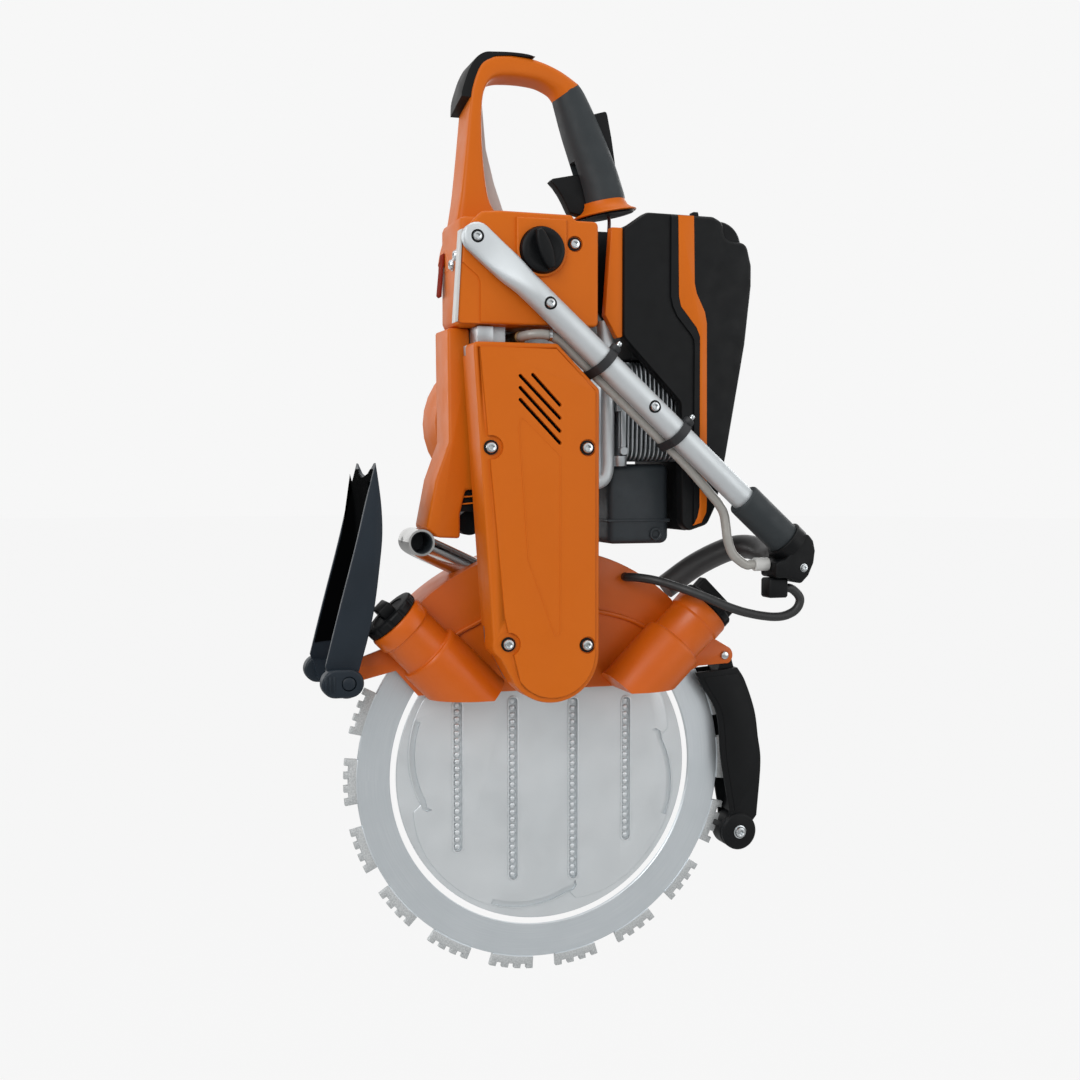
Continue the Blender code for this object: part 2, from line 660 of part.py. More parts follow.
def make_front_guard():
    """Channel over the ring's front edge, hung on a screw, with a roller at its foot."""
    hinge = joint_empty("front_guard_axis", (FRONT_PIVOT[0], 0, FRONT_PIVOT[1]))
    half = FRONT_GUARD_DEPTH / 2
    edge = beside_blade([(-39, 84), (-33, 72), (-17, 44), (-12, 0), (-4, -45), (-3, -54)])
    foot = arc(*FRONT_ROLLER, FRONT_LUG_RADIUS, -140, 10, 8)
    back = beside_blade([(25, -56), (29, -6), (26, 20), (22, 46), (12, 74), (4, 87)])
    guard = plate("front_guard", [*edge, *foot, *back], -half, half, (), hinge)
    channel = half - FRONT_GUARD_WALL
    wide = BLADE_REACH + CHANNEL_CLEARANCE
    cut(guard, pin("guard_channel", 0, 0, -channel, channel, wide, 96, hinge))
    ear_far = HOOD_NEAR + HOOD_WALL + GAP
    ear = pin("front_ear", *FRONT_PIVOT, ear_far, half, EAR_RADIUS, 20, hinge)
    neck = beside_blade([(-9, 99), (-15, 82), (5, 78), (-1, 99)])
    join(guard, ear, plate("front_ear_neck", neck, ear_far, half, (), hinge))
    cut(guard, pin("front_ear_hole", *FRONT_PIVOT, -2 * half, 2 * half, SCREW_SHANK + GAP, 16, hinge))
    side = FRONT_ROLLER_WIDTH / 2
    cut(guard, pin("front_roller_room", *FRONT_ROLLER, -side - GAP, side + GAP,
                   FRONT_ROLLER_RADIUS + ROLLER_CLEARANCE, 32, hinge))
    join(guard, pin("front_roller_axle", *FRONT_ROLLER, -half + GAP, half - GAP, ROLLER_PIN, 20, hinge))
    finish(guard, BLACK, 0.5)
    spin = joint_empty("front_roller_axis", (FRONT_ROLLER[0], 0, FRONT_ROLLER[1]))
    bore = ROLLER_PIN + GAP
    profile = [(bore, side), (FRONT_ROLLER_RADIUS, side), (FRONT_ROLLER_RADIUS, -side), (bore, -side)]
    roller = turned("front_guard_roller", profile, (FRONT_ROLLER[0], 0, FRONT_ROLLER[1]), carrier=spin)
    finish(roller, "#1C1D1E", 0.6)
    head = HOOD_NEAR - BOLT_HEAD_HEIGHT
    screw = pin("front_guard_screw", *FRONT_PIVOT, head + GAP, half - GAP, SCREW_SHANK, 16)
    join(screw, pin("front_screw_head", *FRONT_PIVOT, head, HOOD_NEAR - GAP, BOLT_HEAD_RADIUS, 20))
    finish(screw, STEEL, 0.3, 1.0)


def make_rear_guard():
    """Trough over the ring's back edge, shown swung up and open, on a pin through the cover's ear."""
    hinge = joint_empty("rear_guard_axis", (REAR_PIVOT[0], 0, REAR_PIVOT[1]))
    half = REAR_GUARD_WIDTH / 2
    back = beside_blade([(5, 103), (15, 146), (23, 182), (27, 218), (26, 252), (22, 279)], -1)
    mouth = beside_blade([(13, 246), (4, 209), (-9, 162), (-17, 131), (-22, 109)], -1)
    heel = arc(*REAR_PIVOT, 14 * MM, 180, 340, 8)
    outline = [*heel, *back, *mouth]
    guard = plate("rear_guard", outline, -half, half, (), hinge)
    shift = 2 * REAR_GUARD_WALL
    side = half - REAR_GUARD_WALL
    hollow = [(x - shift, z) for x, z in [*back, (back[-1][0], back[-1][1] + shift)]]
    hollow += [(x - 4 * shift, z) for x, z in mouth]
    cut(guard, plate("trough", hollow, -side, side, (), hinge))
    cut(guard, pin("ear_room", *REAR_PIVOT, -side + 8 * MM, side - 8 * MM, 24 * MM, 32, hinge))
    reach = half + REAR_CAP_THICKNESS
    cap_x = REAR_PIVOT[0] - 5 * MM
    for name, near, far in (("near", -reach, -side), ("far", side, reach)):
        ends = arc(cap_x + 6 * MM, REAR_PIVOT[1], 12 * MM, -90, 90, 10)
        ends += arc(cap_x - 6 * MM, REAR_PIVOT[1], 12 * MM, 90, 270, 10)
        join(guard, plate(f"guard_cap_{name}", ends, near, far, (), hinge))
    cut(guard, pin("rear_pin_hole", *REAR_PIVOT, -2 * half, 2 * half, REAR_PIN_RADIUS + GAP, 20, hinge))
    finish(guard, NAVY, 0.5)
    finish(pin("rear_guard_pin", *REAR_PIVOT, -reach, reach, REAR_PIN_RADIUS, 20), "#3A4652", 0.4)


def inset(outline, distance):
    """An anticlockwise outline drawn in by a distance, corner by corner."""
    drawn = []
    count = len(outline)
    for i in range(count):
        here = Vector(outline[i])
        before = (here - Vector(outline[i - 1])).normalized()
        after = (Vector(outline[(i + 1) % count]) - here).normalized()
        normal_in = Vector((-before.y, before.x))
        normal_out = Vector((-after.y, after.x))
        middle = (normal_in + normal_out).normalized()
        drawn.append(tuple(here + middle * distance / middle.dot(normal_in)))
    return drawn


def cover_outline():
    """Belt cover: straight right side, sloped shoulder, tapering left side and round nose."""
    nose = arc(DRIVE_X, DRIVE_Z, COVER_NOSE_RADIUS, 215, 360, 14)
    right = DRIVE_X + COVER_NOSE_RADIUS
    boss = arc(*COVER_BOSS, COVER_BOSS_RADIUS, 175, 235, 5)
    return [*nose, (right, COVER_TOP - COVER_SHOULDER), (right - COVER_SHOULDER, COVER_TOP),
            (COVER_LEFT, COVER_TOP), *boss]


def make_belt_cover():
    """Moulded cover over the belt, with four cooling slots."""
    outline = cover_outline()
    cover = plate("belt_cover", outline, COVER_FACE, COVER_FACE + COVER_DEPTH)
    edge = cover.modifiers.new("rounding", "BEVEL")
    edge.width = COVER_WALL
    edge.segments = 2
    edge.limit_method = "ANGLE"
    edge.angle_limit = math.radians(40)
    cut(cover, plate("cover_hollow", inset(outline, COVER_WALL), COVER_FACE + COVER_WALL, ARM_FAR))
    slots = [((-38, 354), (-14, 329)), ((-49, 353), (-14, 318)), ((-49, 343), (-14, 307)),
             ((-49, 333), (-14, 297))]
    for number, (start, end) in enumerate(slots):
        start, end = Vector(start) * MM, Vector(end) * MM
        side = (end - start).orthogonal().normalized() * 1.3 * MM
        corners = [start - side, end - side, end + side, start + side]
        cut(cover, plate(f"slot_{number}", [tuple(c) for c in corners], 2 * COVER_FACE, ARM_FAR))
    finish(cover, ORANGE, 0.45)


def belt_loop(extra):
    """The path round both pulleys, at a height above their grooves."""
    lean = math.degrees(math.asin((DRIVE_PULLEY_RADIUS - CRANK_PULLEY_RADIUS) / (CRANK_Z - DRIVE_Z)))
    top = arc(CRANK_X, CRANK_Z, CRANK_PULLEY_RADIUS + extra, lean, 180 - lean, 20)
    return top + arc(DRIVE_X, DRIVE_Z, DRIVE_PULLEY_RADIUS + extra, 180 - lean, 360 + lean, 20)


def make_drive():
    """Belt, pulleys, drive shaft with its bearing, and the wheel that turns the ring."""
    half = BELT_WIDTH / 2
    belt = plate("drive_belt", belt_loop(BELT_THICKNESS), BELT_Y - half, BELT_Y + half, [belt_loop(GAP)])
    finish(belt, BLACK, 0.7)
    rim = 2 * MM
    side = half + rim
    bore = SHAFT_RADIUS + GAP
    groove = half + GAP
    drive = joint_empty("drive_axis", (DRIVE_X, BELT_Y, DRIVE_Z))
    clutch = joint_empty("clutch_axis", (CRANK_X, BELT_Y, CRANK_Z))
    for name, radius, carrier in (("drive_pulley", DRIVE_PULLEY_RADIUS, drive),
                                  ("clutch_pulley", CRANK_PULLEY_RADIUS, clutch)):
        lip = radius + BELT_THICKNESS / 2
        profile = [(bore, side), (lip, side), (lip, groove), (radius, groove), (radius, -groove),
                   (lip, -groove), (lip, -side), (bore, -side)]
        finish(turned(name, profile, tuple(carrier.location), carrier=carrier), STEEL, 0.4, 1.0)
    half = WHEEL_THICKNESS / 2
    profile = [(bore, half), (WHEEL_RADIUS, half), (WHEEL_RADIUS, -half), (bore, -half)]
    wheel = turned("drive_wheel", profile, (DRIVE_X, 0, DRIVE_Z), steps=28, carrier=drive)
    finish(wheel, DARK_GREY, 0.7)
    shaft = pin("drive_shaft", DRIVE_X, DRIVE_Z, BELT_Y - side - rim, 2 * half, SHAFT_RADIUS, 24, drive)
    finish(shaft, STEEL, 0.3, 1.0)
    profile = [(bore, ARM_THICKNESS), (BEARING_RADIUS, ARM_THICKNESS), (BEARING_RADIUS, 0), (bore, 0)]
    finish(turned("shaft_bearing", profile, (DRIVE_X, ARM_NEAR, DRIVE_Z)), STEEL, 0.3, 1.0)


def make_arm():
    """Cutting arm: the alloy plate that carries the shaft bearing, engine and hood."""
    seat = circle(DRIVE_X, DRIVE_Z, BEARING_RADIUS + GAP, 32)
    crank = circle(CRANK_X, CRANK_Z, SHAFT_RADIUS + GAP, 24)
    arm = plate("cutting_arm", inset(cover_outline(), COVER_WALL / 2), ARM_NEAR, ARM_FAR, [seat, crank])
    snout = [circle(DRIVE_X, DRIVE_Z, BEARING_RADIUS + GAP, 32)]
    outer = circle(DRIVE_X, DRIVE_Z, BEARING_RADIUS + HOOD_WALL, 32)
    join(arm, plate("arm_snout", outer, ARM_NEAR + HOOD_WALL, HOOD_NEAR - GAP, snout))
    finish(arm, ALLOY, 0.45, 1.0)


def make_engine():
    """Crankcase, crankshaft with its flywheel, finned cylinder, inlet pipe and starter housing."""
    low = (CASE_LEFT, CASE_NEAR, CASE_BOTTOM)
    case = box("crankcase", low, (CASE_RIGHT, CASE_FAR, CASE_TOP), 4 * MM)
    post = box("tank_post", (POST_LEFT, POST_NEAR, COVER_TOP + 2 * GAP),
               (POST_RIGHT, CASE_FAR / 2, TANK_BOTTOM - GAP))
    pillar = box("tank_pillar", (CASE_LEFT, CASE_NEAR / 2, CASE_TOP - CASE_WALL),
                 (CASE_RIGHT, CASE_FAR / 2, TANK_BOTTOM - GAP))
    join(case, post, pillar)
    wall = Vector((CASE_WALL, CASE_WALL, CASE_WALL))
    cut(case, box("crank_room", Vector(low) + wall, Vector((CASE_RIGHT, CASE_FAR, CASE_TOP)) - wall))
    cut(case, pin("crank_bore", CRANK_X, CRANK_Z, 2 * CASE_NEAR, 2 * CASE_FAR, SHAFT_RADIUS + GAP))
    finish(case, ALLOY, 0.5, 1.0)

    crank = joint_empty("crank_axis", (CRANK_X, 0, CRANK_Z))
    wheel_near = CASE_FAR + 2 * STARTER_WALL
    wheel_far = wheel_near + FLYWHEEL_WIDTH
    start = COVER_FACE + 2 * COVER_WALL
    finish(pin("crankshaft", CRANK_X, CRANK_Z, start, wheel_far, SHAFT_RADIUS, 24, crank), STEEL, 0.3, 1.0)
    bore = SHAFT_RADIUS + GAP
    profile = [(bore, FLYWHEEL_WIDTH), (FLYWHEEL_RADIUS, FLYWHEEL_WIDTH), (FLYWHEEL_RADIUS, 0), (bore, 0)]
    wheel = turned("flywheel", profile, (CRANK_X, wheel_near, CRANK_Z), steps=24, carrier=crank)
    finish(wheel, ALLOY, 0.5, 1.0)

    near = CASE_FAR + GAP
    far = near + STARTER_DEPTH
    housing = plate("starter_housing", circle(CRANK_X, CRANK_Z, STARTER_RADIUS, 32), near, far)
    rounding = housing.modifiers.new("rounding", "BEVEL")
    rounding.width = 4 * MM
    rounding.segments = 2
    rounding.limit_method = "ANGLE"
    rounding.angle_limit = math.radians(40)
    cut(housing, pin("starter_hollow", CRANK_X, CRANK_Z, 0, far - STARTER_WALL,
                     STARTER_RADIUS - STARTER_WALL, 32))
    for number in range(5):
        height = CRANK_Z + (number - 2) * 16 * MM
        cut(housing, box(f"starter_vent_{number}", (CRANK_X - 32 * MM, far - 2 * STARTER_WALL, height),
                         (CRANK_X + 32 * MM, 2 * far, height + 5 * MM)))
    finish(housing, ORANGE, 0.5)
    rope_y = (wheel_far + far - STARTER_WALL) / 2
    pull = joint_empty("starter_pull", (CRANK_X + STARTER_RADIUS, rope_y, CRANK_Z))
    start = Vector(pull.location) + Vector((GAP, 0, 0))
    grip = rod("starter_grip", start, start + Vector((PULL_NECK, 0, 0)), ROPE_RADIUS + PULL_WALL, 16, pull)
    half = Vector((PULL_THICKNESS, PULL_THICKNESS, PULL_LENGTH)) / 2
    middle = start + Vector((PULL_NECK + half.x - MM, 0, 0))
    join(grip, box("starter_bar", middle - half, middle + half, 3 * MM, pull))
    rope_start = start - Vector((ROPE_LENGTH, 0, 0))
    join(grip, rod("starter_rope", rope_start, middle, ROPE_RADIUS, 10, pull))
    finish(grip, BLACK, 0.6)
    eye_start = pull.location - Vector((2 * PULL_NECK, 0, 0))
    cut(housing, rod("rope_eye", eye_start, middle, ROPE_RADIUS + GAP, 12))

    left = CASE_RIGHT + GAP
    middle = Vector((0, CYLINDER_Y, CYLINDER_Z))
    barrel = rod("cylinder", Vector((left, 0, 0)) + middle, Vector((CYLINDER_END, 0, 0)) + middle,
                 BARREL_RADIUS, 20)
    reach = Vector((FIN_THICKNESS / 2, FIN_DEPTH / 2, FIN_HEIGHT / 2))
    for number in range(FIN_COUNT):
        place = Vector((CYLINDER_END - FIN_THICKNESS / 2 - number * FIN_PITCH, 0, 0)) + middle
        join(barrel, box(f"fin_{number}", place - reach, place + reach))
    finish(barrel, ALLOY, 0.45, 1.0)

    x = left + PIPE_RADIUS
    y = CASE_NEAR + PIPE_RADIUS
    route = [(x, y, CASE_BOTTOM + 6 * MM), (x, y, 300 * MM), (x, y, 372 * MM), (x - 2 * MM, y, 394 * MM)]
    finish(tube("inlet_pipe", smooth_route(route, 3), PIPE_RADIUS, 3), ALLOY, 0.4, 1.0)


def make_muffler():
    """Black exhaust box under the cylinder, with its outlet in the near face."""
    muffler = box("muffler", (MUFFLER_LEFT, MUFFLER_NEAR, MUFFLER_BOTTOM),
                  (MUFFLER_RIGHT, MUFFLER_FAR, MUFFLER_TOP), 5 * MM)
    cut(muffler, pin("outlet", MUFFLER_RIGHT - 9 * MM, MUFFLER_BOTTOM + 9 * MM, 2 * MUFFLER_NEAR,
                     MUFFLER_NEAR + OUTLET_DEPTH, OUTLET_RADIUS, 20))
    wall = Vector((MUFFLER_WALL, MUFFLER_WALL, MUFFLER_WALL))
    cut(muffler, box("muffler_room", Vector((MUFFLER_LEFT, MUFFLER_NEAR, MUFFLER_BOTTOM)) + wall,
                     Vector((MUFFLER_RIGHT, MUFFLER_FAR, MUFFLER_TOP)) - wall))
    finish(muffler, BLACK, 0.55)


def make_filter():
    """Air filter: hollow base behind, filter inside, cover in front, side panel."""
    split = FILTER_NEAR + FILTER_COVER_DEPTH
    cover = plate("filter_cover", millimetres([*FILTER_EDGE, (66, 394), (120, 338)]), FILTER_NEAR, split)
    rounding = cover.modifiers.new("rounding", "BEVEL")
    rounding.width = 3 * MM
    rounding.segments = 2
    rounding.limit_method = "ANGLE"
    rounding.angle_limit = math.radians(60)
    finish(cover, BLACK, 0.5)
    left = CYLINDER_END + GAP
    top_of_fins = CYLINDER_Z + FIN_HEIGHT / 2 + GAP
    edge = millimetres(FILTER_EDGE[1:])
    bottom = FILTER_EDGE[0][1] * MM
    back = [(left, bottom), *edge, (edge[-1][0], top_of_fins), (left, top_of_fins)]
    base = plate("filter_base", back, split + GAP, FILTER_FAR)
    cut(base, plate("filter_room", inset(back, FILTER_WALL), FILTER_NEAR, FILTER_FAR - FILTER_WALL))
    finish(base, BLACK, 0.55)
    low = Vector((left + 4 * FILTER_WALL, split + 4 * GAP, bottom + ELEMENT_LIFT))
    high = Vector((low.x + ELEMENT_THICKNESS, FILTER_FAR - FILTER_WALL - GAP, low.z + ELEMENT_HEIGHT))
    element = box("air_filter", low, high, 2 * MM)
    finish(element, "#C9C2A8", 0.9)
    wedge = [(43, 410), (65.5, 392), (65.5, 489), (50, 488)]
    finish(plate("side_panel", millimetres(wedge), split - 9 * MM, split), ORANGE, 0.5)


def make_tank():
    """Fuel tank, its near panel with the filler, the cap, the underside shell and its flap."""
    tank = box("tank_housing", (TANK_LEFT, TANK_NEAR, TANK_BOTTOM), (TANK_RIGHT, TANK_FAR, TANK_TOP), 6 * MM)
    wall = Vector((TANK_WALL, TANK_WALL, TANK_WALL))
    room = Vector((TANK_LEFT, TANK_NEAR, TANK_BOTTOM)) + wall, Vector((TANK_RIGHT, TANK_FAR, TANK_TOP)) - wall
    cut(tank, box("fuel_room", *room))
    neck_end = TANK_NEAR + 2 * TANK_WALL
    panel_near = TANK_NEAR - GAP - PANEL_THICKNESS
    cut(tank, pin("filler_hole", CAP_X, CAP_Z, 2 * TANK_NEAR, neck_end, CAP_NECK_RADIUS, 28))
    finish(tank, ORANGE, 0.5)

    outline = [(TANK_RIGHT, TANK_BOTTOM), (TANK_RIGHT, TANK_TOP), (TANK_LEFT + 18 * MM, TANK_TOP + 3 * MM),
               (TANK_LEFT, TANK_TOP - 15 * MM), (TANK_LEFT - 4 * MM, TANK_BOTTOM)]
    hole = circle(CAP_X, CAP_Z, CAP_NECK_RADIUS, 28)
    panel = plate("tank_panel", rounded(outline, 5 * MM), panel_near, TANK_NEAR - GAP, [hole])
    finish(panel, ORANGE, 0.45)

    turn = joint_empty("cap_axis", (CAP_X, panel_near, CAP_Z))
    cap_near = panel_near - CAP_LIFT
    cap = pin("fuel_cap", CAP_X, CAP_Z, cap_near, panel_near - GAP, CAP_RADIUS, 32, turn)
    join(cap, pin("cap_neck", CAP_X, CAP_Z, cap_near + GAP, TANK_NEAR, CAP_NECK_RADIUS - GAP, 28, turn))
    lean = math.radians(20)
    side = Vector((math.cos(lean), math.sin(lean))) * 5 * MM
    along = Vector((-math.sin(lean), math.cos(lean))) * (CAP_RADIUS - 2 * MM)
    middle = Vector((CAP_X, CAP_Z))
    corners = [middle - side - along, middle + side - along, middle + side + along, middle - side + along]
    bar = plate("cap_bar", [tuple(c) for c in corners], cap_near - CAP_BAR_LIFT, cap_near + GAP, (), turn)
    finish(join(cap, bar), BLACK, 0.5)

    right = POST_LEFT - GAP
    shell_right = CASE_LEFT - GAP
    edge = millimetres([(-99, 298), (-111, 265), (-119, 224), (-109, 216), (-89, 215), (-89, 236),
                        (-84, 257)])
    outline = [(right, TANK_BOTTOM - GAP), (TANK_LEFT - 5 * MM, TANK_BOTTOM - GAP), *edge,
               (shell_right, edge[-1][1]), (shell_right, CASE_TOP), (right, CASE_TOP)]
    shell = plate("underside_shell", outline, SHELL_NEAR, SHELL_FAR)
    finish(shell, ORANGE, 0.5)

    left = TANK_LEFT - GAP
    flap = millimetres([(-96.6, 463), (-100, 427), (-98, 425), (-96.4, 452)])
    outline = [(left, flap[0][1]), *flap, (left, flap[-1][1])]
    finish(plate("underside_flap", outline, FLAP_NEAR, FLAP_FAR), "#8E2A12", 0.6)


def make_rear_handle():
    """Loop over the tank: left leg, top and foot bar, with a round core for the grip and a saucer."""
    near = HANDLE_Y - HANDLE_DEPTH / 2
    far = HANDLE_Y + HANDLE_DEPTH / 2
    top = Vector((GRIP_TOP[0], HANDLE_Y, GRIP_TOP[1]))
    foot = Vector((GRIP_FOOT[0], HANDLE_Y, GRIP_FOOT[1]))
    along = (foot - top).normalized()
    square = Vector((-along.z, along.x)) * GRIP_TOP_RADIUS
    end_out = Vector((top.x, top.z)) + square
    end_in = Vector((top.x, top.z)) - square
    base = TANK_TOP + GAP
    outer = millimetres([(-86, 492), *HANDLE_BACK, (9, 631)])
    inner = millimetres([(-59, 616), (-65, 604), (-66, 550), (-62, 518), (-50, 505)])
    seat = [(HOOK_X + HOOK_SEAT / 2, HOOK_Z), (HOOK_X - HOOK_SEAT / 2, HOOK_Z)]
    right = GRIP_FOOT[0] - FLANGE_RADIUS / 2
    bar = 16 * MM
    outline = [(TANK_LEFT + 8 * MM, base), *outer, tuple(end_out), tuple(end_in), *seat, *inner,
               (right, base + bar), (right, base)]
    handle = plate("rear_handle", outline, near, far)
    soft = handle.modifiers.new("rounding", "BEVEL")
    soft.width = 7 * MM
    soft.segments = 2
    soft.limit_method = "ANGLE"
    soft.angle_limit = math.radians(60)
    join(handle, rod("grip_core", top - along * 8 * MM, foot + along * GAP, GRIP_CORE, 24))
    saucer = rod("grip_saucer", foot, foot + along * FLANGE_THICKNESS, GRIP_RADIUS + MM, 32,
                 end_radius=FLANGE_RADIUS)
    join(handle, saucer)
    sleeve = rod("rubber_grip", top + along * GAP, foot - along * GAP, GRIP_TOP_RADIUS, 28,
                 end_radius=GRIP_RADIUS)
    cut(sleeve, rod("grip_bore", top - along * GRIP_RADIUS, foot + along * GRIP_RADIUS, GRIP_CORE + GAP, 24))

    pivot = Vector((42.5 * MM, HANDLE_Y, 506.8 * MM))
    turn = joint_empty("trigger_axis", pivot)
    half = TRIGGER_WIDTH / 2
    blade = millimetres([(5, 535), (14, 522), (25, 508), (36, 501), (45, 501.5), (47.5, 507), (42, 514),
                         (35, 526), (28, 540)])
    trigger = plate("throttle_trigger", blade, HANDLE_Y - half, HANDLE_Y + half, (), turn)
    hole = LEVER_PIN + GAP
    cut(trigger, pin("trigger_hole", pivot.x, pivot.z, near, far, hole, 16, turn))
    finish(trigger, BLACK, 0.5)
    room = millimetres([(-5, 550), (37, 550), (50, 514), (52, 505), (46, 497), (-5, 497)])
    half += 2 * GAP
    cut(handle, plate("trigger_room", room, HANDLE_Y - half, HANDLE_Y + half))
    cut(sleeve, plate("trigger_slot", room, HANDLE_Y - half, HANDLE_Y + half))
    reach = half + 3 * MM
    join(handle, pin("trigger_pin", pivot.x, pivot.z, HANDLE_Y - reach, HANDLE_Y + reach, LEVER_PIN, 12))

    pivot = Vector((57 * MM, HANDLE_Y, 547 * MM))
    turn = joint_empty("lock_axis", pivot)
    half = LOCK_WIDTH / 2
    blade = millimetres([(47, 597), (58, 599), (69, 552), (66, 544), (57, 541), (52, 547), (55, 554)])
    lock = plate("trigger_lock", blade, HANDLE_Y - half, HANDLE_Y + half, (), turn)
    cut(lock, pin("lock_hole", pivot.x, pivot.z, near, far, hole, 16, turn))
    finish(lock, BLACK, 0.5)
    room = millimetres([(34, 604), (70, 604), (84, 535), (51, 537), (48, 548)])
    half += 2 * GAP
    cut(sleeve, plate("lock_slot", room, HANDLE_Y - half, HANDLE_Y + half))
    cut(handle, plate("lock_room", room, HANDLE_Y - half, HANDLE_Y + half))
    reach = half + 3 * MM
    join(sleeve, pin("lock_pin", pivot.x, pivot.z, HANDLE_Y - reach, HANDLE_Y + reach, LEVER_PIN, 12))
    finish(handle, ORANGE, 0.5)
    finish(sleeve, DARK_GREY, 0.75)


def shifted(path, distance):
    """An open path moved to its left by a distance."""
    moved = []
    for i, point in enumerate(path):
        before = Vector(path[max(i - 1, 0)])
        after = Vector(path[min(i + 1, len(path) - 1)])
        run = (after - before).normalized()
        moved.append((point[0] - run.y * distance, point[1] + run.x * distance))
    return moved


def make_handle_trim():
    """Bumper on the loop's back corner, and the throttle cable."""
    back = millimetres(HANDLE_BACK)
    inner = shifted(back, GAP)
    outer = shifted(back, BUMPER_THICKNESS)
    outer[-1] = shifted(back, 2 * MM)[-1]
    reach = HANDLE_DEPTH / 2 - MM
    bumper = plate("handle_bumper", [*inner, *reversed(outer)], HANDLE_Y - reach, HANDLE_Y + reach)
    finish(bumper, BLACK, 0.5)
    top = Vector((GRIP_TOP[0], HANDLE_Y, GRIP_TOP[1]))
    foot = Vector((GRIP_FOOT[0], HANDLE_Y, GRIP_FOOT[1]))
    start = foot + (foot - top).normalized() * (FLANGE_THICKNESS + GAP)
    end = Vector((FILTER_EDGE[-1][0] * MM - GAP, HANDLE_Y, 478 * MM))
    route = [start, start + Vector((0.4, 0, -1)) * 8 * MM, end + Vector((-6 * MM, 0, 6 * MM)),
             end - Vector((3 * MM, 0, 0)), end]
    finish(tube("throttle_cable", smooth_route(route, 4), CABLE_RADIUS), "#5A1410", 0.6)


def beside_tube(distance):
    """Where the hose lies under the handle tube, a distance along it."""
    return TUBE_FROM + TUBE_RUN * distance + TUBE_SIDE * HOSE_DROP + Vector((0, HOSE_BACK, 0))


def make_front_handle():
    """Alloy tube bolted to the tank, its rubber sleeve, the clamp at its foot and the cross bar."""
    flat_far = TUBE_Y + TUBE_RADIUS
    handle = rod("front_handle_tube", TUBE_FROM + TUBE_RUN * TUBE_FLAT_LENGTH * 0.7, TUBE_TO, TUBE_RADIUS, 28)
    start = Vector((TUBE_FROM.x, TUBE_FROM.z))
    run = Vector((TUBE_RUN.x, TUBE_RUN.z))
    lean = math.degrees(math.atan2(run.y, run.x))
    tab = arc(*start, TUBE_RADIUS, lean + 90, lean + 270, 12)
    tab += arc(*(start + run * TUBE_FLAT_LENGTH), TUBE_RADIUS, lean - 90, lean + 90, 4)
    join(handle, plate("flat_end", tab, flat_far - TUBE_FLAT_THICKNESS, flat_far))
    for number, distance in enumerate(DIMPLES):
        place = TUBE_FROM + TUBE_RUN * distance
        cut(handle, pin(f"dimple_{number}", place.x, place.z, 2 * TUBE_Y, TUBE_Y - TUBE_RADIUS + DIMPLE_DEPTH,
                        BOLT_HEAD_RADIUS + MM, 20))
    finish(handle, "#C4C6C7", 0.35, 1.0)
    sleeve = rod("front_sleeve", TUBE_TO - TUBE_RUN * SLEEVE_LENGTH, TUBE_TO, SLEEVE_RADIUS, 28)
    cut(sleeve, rod("sleeve_bore", TUBE_FROM, TUBE_TO + TUBE_RUN * SLEEVE_RADIUS, TUBE_RADIUS + GAP, 28))
    finish(sleeve, DARK_GREY, 0.8)

    foot = TUBE_TO + TUBE_RUN * GAP
    corners = [foot + TUBE_SIDE * SLEEVE_RADIUS, foot - TUBE_SIDE * SLEEVE_RADIUS]
    outline = [(c.x, c.z) for c in corners]
    outline += [(230 * MM, 204 * MM), (228 * MM, 187 * MM), (220 * MM, CLAMP_BOTTOM)]
    outline += [(CLAMP_LEFT, CLAMP_BOTTOM), (CLAMP_LEFT, 194 * MM)]
    depth = SLEEVE_RADIUS
    clamp = plate("handle_clamp", outline, TUBE_Y - depth, TUBE_Y + depth)
    finish(clamp, BLACK, 0.5)
    start = TUBE_Y + depth + GAP
    route = [Vector((204 * MM, start + d, 195 * MM)) for d in (0, 6 * MM, 12 * MM)]
    route += [Vector(p) * MM for p in ((206, -36, 197), (203, -10, 201), (190, 10, 198), (160, 19, 183),
                                       (110, 20, 150))]
    bar = tube("cross_bar", smooth_route(route, 4), CROSS_RADIUS, 3)
    cut(bar, pin("bar_seat", 0, HOOD_ARC_Z, -HOOD_FAR, 2 * HOOD_FAR, HOOD_ARC_RADIUS + GAP, 96))
    finish(bar, BLACK, 0.6)


